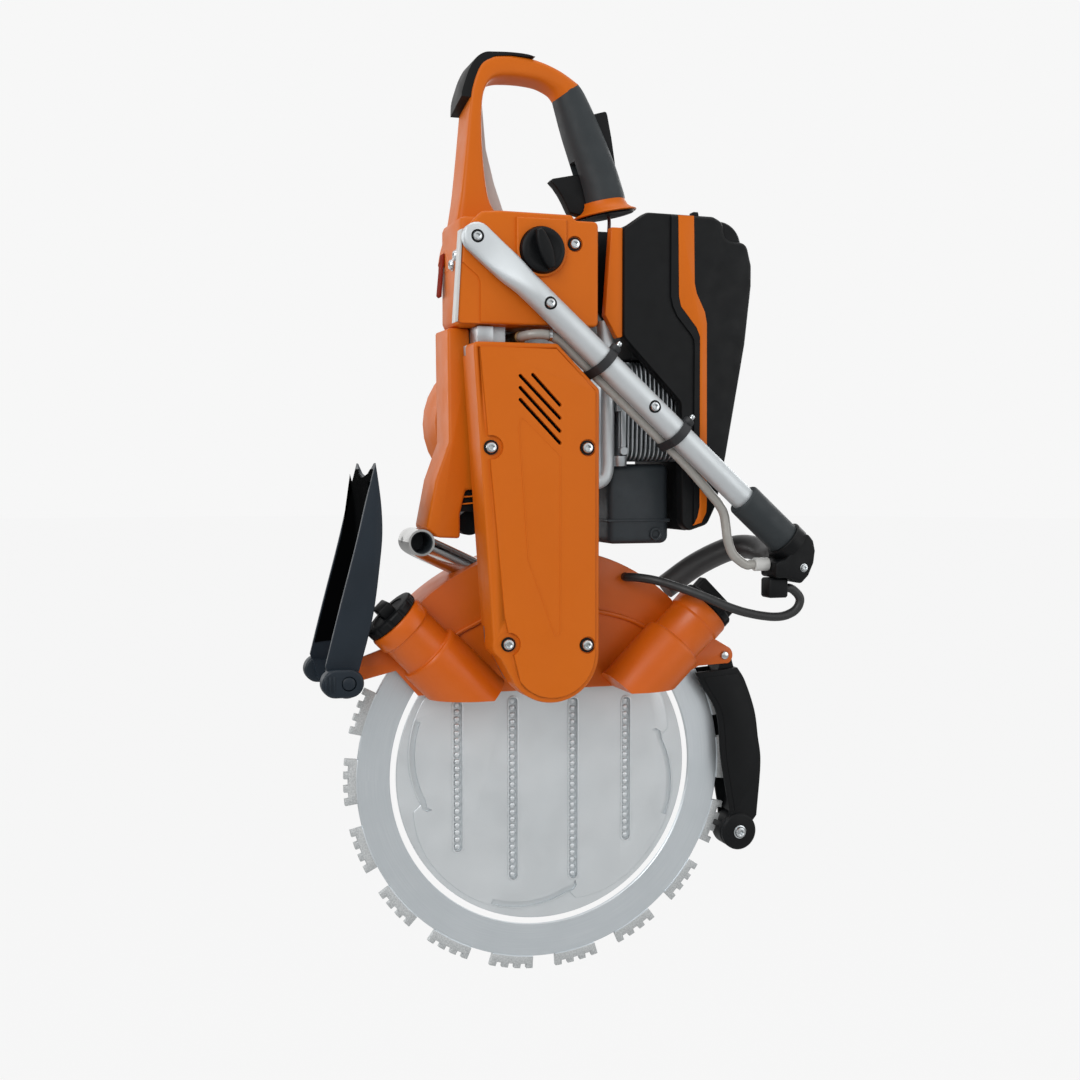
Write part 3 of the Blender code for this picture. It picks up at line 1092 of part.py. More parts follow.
def make_water_line():
    """Inlet nipple, hose strapped under the handle tube, elbow, valve block and hose to the hood."""
    nipple_x, nipple_z = -40 * MM, 388 * MM
    nipple = pin("hose_nipple", nipple_x, nipple_z, NIPPLE_NEAR, CASE_NEAR / 2 - GAP, NIPPLE_RADIUS, 20)
    finish(nipple, "#5B4636", 0.5)
    elbow_y = TUBE_Y
    elbow_z = 190 * MM
    elbow_start = CLAMP_LEFT - 14 * MM
    elbow_end = (CLAMP_LEFT - GAP, elbow_y, elbow_z)
    elbow = rod("hose_elbow", (elbow_start, elbow_y, elbow_z), elbow_end, 6 * MM, 20)
    finish(elbow, "#A9AAA9", 0.5)
    route = [(nipple_x, NIPPLE_NEAR - d, nipple_z) for d in (GAP, 3 * MM, 6 * MM)]
    route += [(-34 * MM, -72 * MM, nipple_z + MM), (-22 * MM, -75 * MM, nipple_z + MM)]
    route += [beside_tube(d * MM) for d in (112, 130, 160, 200, 240, 266)]
    route += [Vector(p) * MM for p in ((132, -76, 252), (142.5, -79, 236), (145, -82, 214), (150, -84, 199))]
    route += [(elbow_start - d, elbow_y, elbow_z) for d in (8 * MM, 4 * MM, GAP)]
    finish(tube("water_hose", smooth_route(route, 3), HOSE_RADIUS, 2), "#A8A49B", 0.4)

    block_near = TUBE_Y - 9 * MM
    block = box("water_valve", (181 * MM, block_near, 160 * MM),
                (200 * MM, block_near + 18 * MM, CLAMP_BOTTOM - GAP), 2 * MM)
    finish(block, BLACK, 0.55)
    eye_x, eye_z = 75 * MM, 176 * MM
    route = [Vector((200 * MM + GAP, TUBE_Y, 168 * MM)), Vector((208 * MM, TUBE_Y, 167 * MM))]
    route += [Vector(p) * MM for p in ((216, -85, 158), (211, -84, 147), (193, -82, 142), (160, -76, 148),
                                       (125, -61, 163), (98, -41, 173), (82, -28, 176))]
    route += [Vector((eye_x, HOOD_NEAR - d, eye_z)) for d in (7 * MM, 3 * MM, GAP)]
    finish(tube("spray_hose", smooth_route(route, 3), SPRAY_RADIUS, 2), BLACK, 0.6)
    for number, distance in enumerate(STRAPS):
        make_strap(number + 1, distance)


def make_strap(number, distance):
    """Rubber strap that ties the hose to the handle tube."""
    hose = Vector((HOSE_DROP, HOSE_BACK))
    lean = math.degrees(math.atan2(hose.y, hose.x))
    spread = math.degrees(math.acos((TUBE_RADIUS - HOSE_RADIUS) / hose.length))

    def loop(extra):
        around = arc(0, 0, TUBE_RADIUS + extra, lean + spread, lean + 360 - spread, 24)
        return around + arc(*hose, HOSE_RADIUS + extra, lean - spread, lean + spread, 10)

    half = STRAP_WIDTH / 2
    strap = plate(f"hose_strap_{number}", loop(GAP + STRAP_THICKNESS), -half, half, [loop(GAP)])
    place = TUBE_FROM + TUBE_RUN * distance
    frame = Matrix((TUBE_SIDE, -TUBE_RUN, Vector((0, 1, 0)))).transposed().to_4x4()
    strap.data.transform(Matrix.Translation(place) @ frame)
    finish(strap, BLACK, 0.6)


def make_foot_tube():
    """Bent alloy tube at the underside: open near end, and a leg that ends on the hood's rim."""
    x, z = -124 * MM, 212 * MM
    route = [(x, FOOT_NEAR, z), (x, -25 * MM, z), (x, -4 * MM, z), (x + 10 * MM, 9 * MM, z - 5 * MM)]
    route += [(x + 34 * MM, 14 * MM, z - 16 * MM), (x + 80 * MM, 14 * MM, z - 37 * MM)]
    foot = tube("foot_tube", smooth_route(route, 4), FOOT_RADIUS, 3)
    cut(foot, pin("foot_bore", x, z, 2 * FOOT_NEAR, FOOT_NEAR + FOOT_BORE_DEPTH, FOOT_BORE, 24))
    cut(foot, pin("hood_seat", 0, HOOD_ARC_Z, -HOOD_FAR, 2 * HOOD_FAR, HOOD_ARC_RADIUS + GAP, 96))
    finish(foot, "#BDBBB7", 0.3, 1.0)


make_blade()
make_disc()
make_guide_rollers()
make_support_rollers()
make_knobs()
make_hood()
make_roller_cover()
make_front_guard()
make_rear_guard()
make_belt_cover()
make_drive()
make_arm()
make_engine()
make_muffler()
make_filter()
make_tank()
make_rear_handle()
make_handle_trim()
make_front_handle()
make_water_line()
make_foot_tube()
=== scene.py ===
# %% [markdown]
# # A petrol ring saw, dressed over its working frame
# The frame is the engineering model: every moving body sits on its real axis. This script loads it, keeps its
# sizes, and puts finished surfaces on it: moulded covers, ground steel, rubber, cast alloy.

# %% Load the frame
import json
import math
import bmesh
import bpy
from mathutils import Matrix, Vector

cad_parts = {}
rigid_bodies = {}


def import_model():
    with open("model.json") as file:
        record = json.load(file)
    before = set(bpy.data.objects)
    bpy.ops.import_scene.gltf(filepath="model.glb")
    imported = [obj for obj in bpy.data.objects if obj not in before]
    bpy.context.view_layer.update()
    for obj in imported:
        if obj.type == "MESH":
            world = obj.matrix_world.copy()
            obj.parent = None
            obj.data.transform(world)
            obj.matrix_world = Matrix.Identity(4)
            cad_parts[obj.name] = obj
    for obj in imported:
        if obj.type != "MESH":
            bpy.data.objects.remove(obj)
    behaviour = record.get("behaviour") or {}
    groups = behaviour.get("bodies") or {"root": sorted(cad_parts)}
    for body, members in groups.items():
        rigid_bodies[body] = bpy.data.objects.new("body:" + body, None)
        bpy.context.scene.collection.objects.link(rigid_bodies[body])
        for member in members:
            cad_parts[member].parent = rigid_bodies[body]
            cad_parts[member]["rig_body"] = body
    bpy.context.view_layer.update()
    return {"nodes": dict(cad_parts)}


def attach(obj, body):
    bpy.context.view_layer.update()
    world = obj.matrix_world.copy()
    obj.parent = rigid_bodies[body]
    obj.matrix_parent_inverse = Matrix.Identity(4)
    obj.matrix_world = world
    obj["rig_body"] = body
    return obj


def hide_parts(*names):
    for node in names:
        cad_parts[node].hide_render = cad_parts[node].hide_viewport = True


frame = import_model()
NODES = frame["nodes"]
MM = 0.001

# %% [markdown]
# ## One place for every piece
# The saw was drawn with the blade's centre as its zero: X to the engine side, Y away from the belt cover, Z
# up to the rear handle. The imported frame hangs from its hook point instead. One small function turns drawing
# millimetres into the frame's metres, so the sizes below read as on a drawing.

# %% Drawing millimetres to frame metres
HOOK = Vector((-32, -8, 618.5))


def at(x, y, z):
    return (Vector((x, y, z)) - HOOK) * MM


def linear(hex_colour):
    channels = [int(hex_colour[i:i + 2], 16) / 255 for i in (1, 3, 5)]
    return [c / 12.92 if c <= 0.04045 else ((c + 0.055) / 1.055) ** 2.4 for c in channels] + [1.0]


def over(spot, y=0):
    """A drawing spot, x and z, at a depth."""
    return at(spot[0], y, spot[1])


CENTRE = at(0, 0, 0)
DRIVE, FILLER, FOOT = (-19, 117), (-26, 460), (-124, 212)
HINGE, REAR_PIVOT, GUARD_ROLLER = (176, 99), (-189, 95), (191, -70)
print("blade centre in the frame:", [round(v, 4) for v in CENTRE])

# %% [markdown]
# Three small steps that every object needs.

# %% Objects and meshes
SEAM = 0.01 * MM


def placed(name, data):
    thing = bpy.data.objects.new(name, data)
    bpy.context.scene.collection.objects.link(thing)
    return thing


def meshed(name, build):
    mesh = bpy.data.meshes.new(name)
    build.to_mesh(mesh)
    build.free()
    return mesh


def cleaned(name, build):
    """Points that coincide are merged, and the faces then turned outwards."""
    bmesh.ops.remove_doubles(build, verts=build.verts, dist=SEAM)
    bmesh.ops.recalc_face_normals(build, faces=build.faces)
    return meshed(name, build)


# %% [markdown]
# ## Camera
# The camera was solved from the round blade: a 370 mm circle seen as an ellipse gives the angle, and its size
# gives the distance. It stands a little to the left and a little above, with a normal lens.

# %% Camera at the photograph's angle
eye = bpy.data.cameras.new("eye")
SENSOR, FOCAL_PIXELS, PICTURE_PIXELS = 36, 1400, 1080
eye.sensor_width = SENSOR
eye.lens = SENSOR * FOCAL_PIXELS / PICTURE_PIXELS
camera = placed("eye", eye)
camera.location = at(-395.1, -1212.8, 274.2)
look = Vector((0.3070, 0.9504, -0.0500))
camera.rotation_euler = look.to_track_quat("-Z", "Y").to_euler()
bpy.context.scene.camera = camera
print("camera lens", round(eye.lens, 2))

# %% [markdown]
# ## Nodes and stage
# A material is a small graph. One function adds a node, sets what is given and links what is a socket, or a
# node by its first output; two more add the noise and the colour blend that finishes need. The floor is pale
# card far below the hanging saw; for the camera it is mostly plain paper white, so no horizon shows, and a
# share of true shading keeps the saw's soft shadow on it.

# %% Adding nodes
def add(tree, kind, sockets=(), **settings):
    node = tree.nodes.new("ShaderNode" + kind)
    for key, value in settings.items():
        setattr(node, key, value)
    for key, value in dict(sockets).items():
        if isinstance(value, bpy.types.Node):
            value = value.outputs[0]
        if isinstance(value, bpy.types.NodeSocket):
            tree.links.new(value, node.inputs[key])
        else:
            node.inputs[key].default_value = value
    return node


def noise(tree, place, size, detail, finer=1):
    """A noise of a size in millimetres, or a number of times finer."""
    return add(tree, "TexNoise", {"Vector": place, "Scale": finer / (size * MM), "Detail": detail})


def blend(tree, share, low, high):
    return add(tree, "Mix", {"Factor": share, "A": low, "B": high}, data_type="RGBA").outputs["Result"]


PAPER = linear("#F7F7F7")
ROOM_LIGHT, PAPER_SHARE = 0.35, 0.985

# %% World and floor
world = bpy.data.worlds.new("studio")
bpy.context.scene.world = world
world.use_nodes = True
tree = world.node_tree
tree.nodes.clear()
ray = add(tree, "LightPath")
seen = add(tree, "Math", {0: ray.outputs["Is Camera Ray"], 1: ray.outputs["Is Transmission Ray"]},
    operation="MAXIMUM")
seen = add(tree, "Math", {0: seen, 1: ray.outputs["Is Glossy Ray"]}, operation="MAXIMUM")
room = add(tree, "Background", {"Color": linear("#FFFFFF"), "Strength": ROOM_LIGHT})
paper = add(tree, "Background", {"Color": PAPER, "Strength": 1.0})
mixed = add(tree, "MixShader", {0: seen, 1: room, 2: paper})
add(tree, "OutputWorld", {0: mixed})

card = bpy.data.materials.new("pale_card_floor")
card.use_nodes = True
tree = card.node_tree
tree.nodes.clear()
ray = add(tree, "LightPath")
seen = add(tree, "Math", {0: ray.outputs["Is Camera Ray"], 1: PAPER_SHARE}, operation="MULTIPLY")
matt = add(tree, "BsdfDiffuse", {"Color": linear("#E9E9E9")})
glow = add(tree, "Emission", {"Color": PAPER, "Strength": 1.0})
mixed = add(tree, "MixShader", {0: seen, 1: matt, 2: glow})
add(tree, "OutputMaterial", {0: mixed})

build = bmesh.new()
FLOOR_RADIUS, FLOOR_HEIGHT = 30, -1.35
bmesh.ops.create_circle(build, cap_ends=True, segments=64, radius=FLOOR_RADIUS)
bmesh.ops.translate(build, verts=build.verts, vec=(0, 0, FLOOR_HEIGHT))
floor = placed("floor", meshed("floor", build))
floor.data.materials.append(card)

# %% [markdown]
# ## Light
# Big soft boxes, as in a product studio: a key from the upper left, a weaker fill from the right, one above
# and two behind, which draw thin bright lines on the tube and on black plastic.

# %% Soft boxes
MIDDLE = at(0, 0, 210)
for name, place, size, watts in (("key", (-1.3, -1.7, 0.6), 1.3, 25), ("fill", (1.6, -1.5, -0.1), 1.4, 9),
        ("top", (0.1, -0.1, 1.4), 1.2, 9), ("rim_left", (-1.5, 1.3, 0.1), 1.0, 10),
        ("rim_right", (1.5, 1.3, 0.2), 1.0, 10)):
    lamp = bpy.data.lights.new(name, "AREA")
    lamp.energy = watts
    lamp.size = size
    holder = placed(name, lamp)
    holder.location = place
    holder.rotation_euler = (MIDDLE - Vector(place)).to_track_quat("-Z", "Y").to_euler()
bpy.context.scene.view_settings.view_transform = "Standard"

# %% [markdown]
# ## Finishes
# Every finish starts from how the real surface was made: moulded nylon has a soft cloud in its colour and a
# fine grain, metal carries lines or pits. A large soft noise gives the tone, a second one how dull it is, and
# a fine one the grain, drawn a little coarse so that it shows at this distance.

# %% One surface with cloud, dullness and grain
NOISE_LOW, NOISE_HIGH = 0.3, 0.7
WEAR_FINER = 2.7


def bare(name, metallic):
    """A new material with its slot, its node tree and its shader."""
    material = bpy.data.materials.new(name)
    material.use_nodes = True
    tree = material.node_tree
    shader = tree.nodes["Principled BSDF"]
    shader.inputs["Metallic"].default_value = metallic
    return material, tree, shader


def joined(tree, shader, tone, dullness, height, depth, strength):
    """Tone, dullness and a relief of some depth in millimetres go to the shader."""
    bump = add(tree, "Bump", {"Height": height, "Distance": depth * MM, "Strength": strength})
    tree.links.new(tone, shader.inputs["Base Color"])
    tree.links.new(dullness.outputs["Result"], shader.inputs["Roughness"])
    tree.links.new(bump.outputs["Normal"], shader.inputs["Normal"])


def surface(name, tones, dull, grain, metallic=0.0, cloud=40.0, ior=1.5):
    """tones: two hex colours; dull: low and high roughness; grain: size and depth in millimetres."""
    material, tree, shader = bare(name, metallic)
    shader.inputs["IOR"].default_value = ior
    place = add(tree, "TexCoord").outputs["Object"]
    tone = blend(tree, noise(tree, place, cloud, 3.0), linear(tones[0]), linear(tones[1]))
    dullness = add(tree, "MapRange", {"Value": noise(tree, place, cloud, 4.0, WEAR_FINER),
        "From Min": NOISE_LOW, "From Max": NOISE_HIGH, "To Min": dull[0], "To Max": dull[1]})
    joined(tree, shader, tone, dullness, noise(tree, place, grain[0], 2.0), grain[1], 0.6)
    return material


# %% [markdown]
# Plastics: the covers are orange moulded nylon with a satin skin, the hood is a light casting in the same
# orange enamel, a little glossier. Black nylon is filled with glass fibre, so it is dull and grainy.

# %% Plastics and enamel
orange_nylon = surface("orange_moulded_nylon",
    ("#CE640E", "#D56C14"), (0.36, 0.5), (0.7, 0.05), cloud=60, ior=1.3)
orange_enamel = surface("orange_enamel_on_casting",
    ("#CB5B0A", "#D46410"), (0.3, 0.44), (2.2, 0.06), cloud=45, ior=1.42)
dark_red_nylon = surface("dark_red_nylon",
    ("#7C2010", "#882814"), (0.6, 0.75), (0.7, 0.05), ior=1.12)
black_nylon = surface("black_glass_filled_nylon",
    ("#08090A", "#0F1113"), (0.42, 0.58), (0.6, 0.07), cloud=35, ior=1.26)
navy_nylon = surface("blue_black_nylon",
    ("#131B23", "#1C2731"), (0.36, 0.5), (0.6, 0.05), cloud=50, ior=1.36)
# A dead-matt black used only as painted shade: behind the belt cover's slots and inside the rear guard's
# trough.
shade_black = surface("matt_black_painted_shade",
    ("#050506", "#090A0A"), (0.85, 0.95), (0.8, 0.05), ior=1.04)
trim_grey = surface("pale_grey_abs", ("#C6C6C4", "#D2D2CF"), (0.4, 0.55), (0.8, 0.04))

# %% [markdown]
# Rubber and hose: the grips are moulded rubber with a velvet-dull skin, the water hose is soft clear vinyl
# that looks pale grey, and the spray hose is black rubber.

# %% Rubber, vinyl and sheath
grip_rubber = surface("moulded_grip_rubber",
    ("#24292C", "#2F3538"), (0.5, 0.66), (0.9, 0.1), cloud=30, ior=1.4)
hose_rubber = surface("black_hose_rubber",
    ("#1A1B1C", "#272829"), (0.42, 0.58), (0.8, 0.08), cloud=25)
strap_rubber = surface("strap_rubber",
    ("#17181A", "#222427"), (0.5, 0.65), (0.8, 0.08), cloud=15)
bar_coat = surface("dip_coated_bar",
    ("#2F2F30", "#3D3C3C"), (0.36, 0.5), (0.9, 0.05), cloud=30)
clear_vinyl = surface("clear_vinyl_hose",
    ("#918F8A", "#A6A49F"), (0.18, 0.3), (1.6, 0.03), cloud=18, ior=1.53)
cable_sheath = surface("red_cable_sheath", ("#4E120E", "#651A14"), (0.4, 0.5), (0.6, 0.04))
belt_rubber = surface("belt_rubber", ("#141414", "#1E1E1E"), (0.6, 0.75), (0.9, 0.1))
filter_paper = surface("filter_paper", ("#BDB59A", "#CFC8AF"), (0.85, 0.95), (0.8, 0.1))

# %% [markdown]
# Metals: drawn tube is even and satin, cast alloy is dull with fine pits, the muffler wears a dark stove
# paint, and screws are bright zinc. Machined steel is for hidden inner parts.

# %% Metals
cast_alloy = surface("cast_aluminium",
    ("#9DA2A5", "#B9BEC1"), (0.38, 0.55), (1.1, 0.1), metallic=1.0, cloud=25)
bright_zinc = surface("zinc_plated_steel",
    ("#B4B9BC", "#CDD2D4"), (0.18, 0.32), (0.6, 0.02), metallic=1.0, cloud=6)
drawn_tube = surface("drawn_aluminium_tube",
    ("#BFC4C7", "#CDD2D4"), (0.5, 0.6), (0.5, 0.02), metallic=0.8, cloud=60)
bright_tube = surface("chromed_steel_tube",
    ("#C4C4C2", "#D8D8D6"), (0.1, 0.2), (0.8, 0.01), metallic=1.0, cloud=60)
machined_steel = surface("machined_steel",
    ("#9FA5AA", "#B4BABE"), (0.25, 0.4), (0.5, 0.03), metallic=1.0, cloud=12)
stove_paint = surface("stove_painted_steel",
    ("#23282C", "#30373C"), (0.42, 0.6), (0.9, 0.06), metallic=0.2, cloud=30)
brass = surface("dull_brass",
    ("#6B5338", "#8A6C44"), (0.35, 0.5), (0.8, 0.04), metallic=1.0, cloud=8)

# %% [markdown]
# The ring is ground steel: the wheel leaves fine rings round the centre. Its brazed segments are sintered
# metal full of diamond grit, paler and rougher. The radius from the blade's centre tells them apart, so one
# material serves the whole ring.

# %% Ground ring with gritty segments
SEGMENT_FROM, RING_SPREAD = 174.2, 0.004
ring_steel, tree, shader = bare("ground_ring_steel", 0.9)
place = add(tree, "TexCoord").outputs["Object"]
local = add(tree, "VectorMath", {0: place, 1: CENTRE}, operation="SUBTRACT")
flat = add(tree, "VectorMath", {0: local, 1: (1, 0, 1)}, operation="MULTIPLY")
radius = add(tree, "VectorMath", {0: flat}, operation="LENGTH").outputs["Value"]
parts = add(tree, "SeparateXYZ", {0: flat})
turn = add(tree, "Math", {0: parts.outputs["Z"], 1: parts.outputs["X"]}, operation="ARCTAN2")
turn = add(tree, "Math", {0: turn, 1: RING_SPREAD}, operation="MULTIPLY")
lines = noise(tree, add(tree, "CombineXYZ", {"X": radius, "Y": turn}), 1.2, 4.0)
patch = noise(tree, local, 30, 2.0)
grit = noise(tree, local, 1.4, 3.0)
edge = add(tree, "Math", {0: radius, 1: SEGMENT_FROM * MM}, operation="GREATER_THAN")
steel = blend(tree, patch, blend(tree, lines, linear("#C4CBD0"), linear("#DEE3E6")), linear("#C8CFD3"))
tone = blend(tree, edge, steel, blend(tree, grit, linear("#8E9395"), linear("#E2E4E4")))
dullness = add(tree, "MapRange", {"Value": edge, "To Min": 0.4, "To Max": 0.7})
height = add(tree, "Mix", {"Factor": edge, "A": lines, "B": grit})
joined(tree, shader, tone, dullness, height.outputs["Result"], 0.12, 0.5)

# %% [markdown]
# The still disc inside the ring is a pressed sheet, pale and slightly milky with water marks.

# %% Pressed sheet
pressed_sheet = surface("pressed_galvanised_sheet",
    ("#C8CED1", "#DCE0E2"), (0.36, 0.5), (1.5, 0.05), metallic=0.55, cloud=70)
print("finishes:", len(bpy.data.materials))

# %% [markdown]
# ## How the pieces are made
# Four ways cover the whole saw. A moulding is an outline pushed to its depth, with its rim rounded. A turned
# piece is a half profile spun about its axis. A window or a recess is carved with a tool body. A small
# casting keeps the engineering mesh with broken edges, because a real edge shows a thin line of light.

# %% A finished piece that moves with its body
def owned(piece, material, body, node):
    """The piece gets its finish, its body and the node that it stands for."""
    piece.data.materials.append(material)
    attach(piece, body)
    if node:
        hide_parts(node)
    return piece


def shaded(mesh, sharp):
    mesh.shade_smooth()
    mesh.set_sharp_from_angle(angle=math.radians(sharp))


def dressed(name, build, material, node=None, body="saw", sharp=32):
    piece = placed(name, cleaned(name, build))
    shaded(piece.data, sharp)
    return owned(piece, material, body, node)


# %% An outline pushed to its depth
def pushed(build, points, way):
    """A face through the points, pushed along; gives back the face and the new parts."""
    face = build.faces.new([build.verts.new(point) for point in points])
    return face, drawn_out(build, face, way)


def drawn_out(build, face, way):
    made = bmesh.ops.extrude_face_region(build, geom=[face])["geom"]
    moved = [part for part in made if isinstance(part, bmesh.types.BMVert)]
    bmesh.ops.translate(build, verts=moved, vec=way)
    return made


def rounded(build, edges, radius, steps):
    bmesh.ops.bevel(build, geom=edges, offset=radius * MM, offset_type="OFFSET", segments=steps, profile=0.5,
        affect="EDGES", clamp_overlap=True, material=-1)


def slab(points, near, far, rim=0.0, steps=3, both=False):
    """points are x and z on the drawing; the rim at the near face is rounded, or at both faces."""
    build = bmesh.new()
    face, made = pushed(build, [at(x, near, z) for x, z in points], (0, (far - near) * MM, 0))
    if rim:
        faces = [face] + [part for part in made if both and isinstance(part, bmesh.types.BMFace)]
        rounded(build, list({edge for flat in faces for edge in flat.edges}), rim, steps)
    return build


# %% A half profile spun about its axis
def turned(profile, centre, axis=(0, 1, 0), steps=48):
    """profile is radius and height pairs in millimetres, centre a frame point."""
    axis = Vector(axis).normalized()
    side = axis.orthogonal().normalized()
    build = bmesh.new()
    points = [build.verts.new(centre + (side * r + axis * h) * MM) for r, h in profile]
    lines = [build.edges.new(pair) for pair in zip(points, points[1:])]
    bmesh.ops.spin(build, geom=points + lines, cent=centre, axis=axis, angle=2 * math.pi, steps=steps,
        use_merge=True)
    return build


def rod(radius, low, high, centre, axis=(0, 1, 0), steps=48):
    """A plain cylinder between two heights on its axis."""
    return turned([(0, low), (radius, low), (radius, high), (0, high)], centre, axis, steps)


# %% [markdown]
# Outlines are drawn with few points, and each corner becomes a small arc, as on a moulding.

# %% Round corners and arcs
def softened(points, radius, steps=5):
    """A closed outline with each corner turned into an arc."""
    corners = [Vector(point) for point in points]
    outline = []
    for i, corner in enumerate(corners):
        back = corners[i - 1] - corner
        ahead = corners[(i + 1) % len(corners)] - corner
        half = back.angle(ahead) / 2
        reach = min(radius / math.tan(half), 0.48 * back.length, 0.48 * ahead.length)
        start = corner + back.normalized() * reach
        end = corner + ahead.normalized() * reach
        for step in range(steps + 1):
            t = step / steps
            outline.append(tuple(start * (1 - t) ** 2 + corner * 2 * t * (1 - t) + end * t ** 2))
    return outline


def arc(x, z, radius, start, end, steps=16):
    """Points on a circle, angles in degrees."""
    turns = [math.radians(start + (end - start) * i / steps) for i in range(steps + 1)]
    return [(x + radius * math.cos(turn), z + radius * math.sin(turn)) for turn in turns]


def polar(radius, turn):
    return radius * math.cos(turn), radius * math.sin(turn)


def all_round(steps):
    """Even turns round a circle, in radians."""
    return [2 * math.pi * step / steps for step in range(steps)]


def oblong(left, right, low, high):
    return [(left, low), (right, low), (right, high), (left, high)]


# %% [markdown]
# Carving uses a Boolean modifier on tool bodies that are thrown away afterwards, so the finished piece holds
# nothing but its own faces.

# %% Carve one piece with tool bodies
def carve(piece, tools, operation="DIFFERENCE", sharp=32):
    for tool in tools:
        body = placed("tool", cleaned("tool", tool))
        step = piece.modifiers.new("carve", "BOOLEAN")
        step.object = body
        step.operation = operation
        step.solver = "EXACT"
        shape = piece.evaluated_get(bpy.context.evaluated_depsgraph_get())
        result = bpy.data.meshes.new_from_object(shape)
        piece.modifiers.remove(step)
        spent = [piece.data, body.data]
        piece.data = result
        bpy.data.objects.remove(body)
        for mesh in spent:
            bpy.data.meshes.remove(mesh)
    shaded(piece.data, sharp)


# %% [markdown]
# The engineering mesh is made of triangles. They are merged into flat faces first, then every edge that turns
# more than a set angle gets a narrow round.

# %% A finished copy of an engineering node
SHARP_EDGE = math.radians(35)


def finer(node, material, width):
    build = bmesh.new()
    build.from_mesh(NODES[node].data)
    bmesh.ops.remove_doubles(build, verts=build.verts, dist=SEAM)
    bmesh.ops.dissolve_limit(build, verts=build.verts, edges=build.edges, angle_limit=math.radians(1))
    edges = [edge for edge in build.edges
        if len(edge.link_faces) == 2 and edge.calc_face_angle(0) > SHARP_EDGE]
    rounded(build, edges, width, 2)
    dressed(node + "_skin", build, material, node, body=NODES[node]["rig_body"], sharp=40)


# %% [markdown]
# Hidden inner parts are seldom seen; they keep their engineering mesh and only get the right finish.

# %% Inner parts
INNER = {"air_filter": filter_paper, "drive_belt": belt_rubber, "flywheel": cast_alloy}
for node in ("clutch_pulley", "crankshaft", "drive_pulley", "drive_shaft", "drive_wheel", "shaft_bearing",
        "guide_roller_left", "guide_roller_right", "plunger_left", "plunger_right", "support_roller_left",
        "support_roller_right"):
    INNER[node] = machined_steel
for node, material in INNER.items():
    NODES[node].data.materials.clear()
    NODES[node].data.materials.append(material)
print("inner parts:", len(INNER))

# %% [markdown]
# ## Castings and plain mouldings
# Pieces whose engineering shape is already right: they get broken edges and their finish.

# %% Finished copies
PLAIN = {"crankcase": (cast_alloy, 1.2), "cutting_arm": (cast_alloy, 1.0),
    "tank_housing": (orange_nylon, 2.5), "underside_shell": (orange_nylon, 2.5),
    "underside_flap": (dark_red_nylon, 0.8), "water_valve": (black_nylon, 1.2),
    "hose_elbow": (trim_grey, 0.5), "hose_nipple": (brass, 0.5), "filter_base": (black_nylon, 1.5),
    "starter_housing": (orange_nylon, 2.0), "starter_grip": (black_nylon, 1.5),
    "rear_guard_pin": (navy_nylon, 1.5)}
for node, (material, width) in PLAIN.items():
    finer(node, material, width)
print("finished copies:", len(PLAIN))

# %% [markdown]
# ## Belt cover
# The big orange moulding. It is drawn as an outline, pushed to its depth and opened at the back like the real
# thin-walled part. A second, smaller outline stands forward from it, which leaves a rim all round. The four
# cooling slots are carved, and a thin raised line frames the field for a badge, which stays bare. The two
# left screws sit in pockets that open to the rim, the two right ones in counterbores.

# %% Helpers for shells and for groups of small parts
def opened(build, wall, depth):
    """The far face is inset by the wall and pushed in, which leaves a thin shell."""
    back = max(build.faces, key=lambda face: face.calc_center_median().y)
    bmesh.ops.inset_region(build, faces=[back], thickness=wall * MM, use_even_offset=True)
    drawn_out(build, back, (0, -depth * MM, 0))
    return build


def gathered(builds):
    """Several small bodies in one mesh."""
    whole = bmesh.new()
    for build in builds:
        mesh = meshed("part", build)
        whole.from_mesh(mesh)
        bpy.data.meshes.remove(mesh)
    return whole


def capsule(start, end, radius, steps=8):
    """A slot outline with round ends, between two drawing points."""
    start, end = Vector(start), Vector(end)
    lean = math.degrees(math.atan2(end.y - start.y, end.x - start.x))
    return arc(*end, radius, lean - 90, lean + 90, steps) + arc(*start, radius, lean + 90, lean + 270, steps)


def drawn_in(outline, distance):
    """An anticlockwise outline drawn in by a distance, corner by corner."""
    points = [Vector(point) for point in outline]
    drawn = []
    for i, here in enumerate(points):
        before = (here - points[i - 1]).normalized()
        after = (points[(i + 1) % len(points)] - here).normalized()
        middle = Vector((-before.y - after.y, before.x + after.x)).normalized()
        drawn.append(tuple(here + middle * distance / max(middle.dot(Vector((-before.y, before.x))), 0.5)))
    return drawn


def bores(places, radius, floor):
    """Round pockets from the near side down to a depth."""
    return [rod(radius, -40, 0, at(x, floor, z), steps=40) for x, z in places]


# %% Belt cover
CORNERS = softened([(23, 117), (23, 343), (-15, 381), (-89, 381), (-71, 128)], 5)[6:24]
COVER_POINTS = [*arc(*DRIVE, 42, 215, 360, 24), *CORNERS, *arc(-59, 127, 13.5, 165, 240, 12)]
cover = dressed("belt_cover_moulding", opened(slab(COVER_POINTS, -85, -59, 2.2, 3), 2.5, 23), orange_nylon,
    "belt_cover")
FACE_POINTS = [*arc(*DRIVE, 42, 215, 360, 24), *CORNERS, (-67.6, 150)]
carve(cover, [slab(drawn_in(FACE_POINTS, 5), -88, -84, 2.6, 4)], "UNION")
slots = [((-38, 354), (-14, 329)), ((-49, 353), (-14, 318)),
    ((-49, 343), (-14, 307)), ((-49, 333), (-14, 297))]
bed = softened([(-48.7, 321), (-50.4, 307.6), (-42.4, 198.3), (-18.2, 132.2), (-12.8, 134.5),
    (-12.8, 286.8)], 4)
VENT_ROOM = oblong(-54, -7, 292, 358)
carve(cover, [slab(VENT_ROOM, -84.7, -80)])
carve(cover, [slab(capsule(*ends, 1.6), -95, -80) for ends in slots])
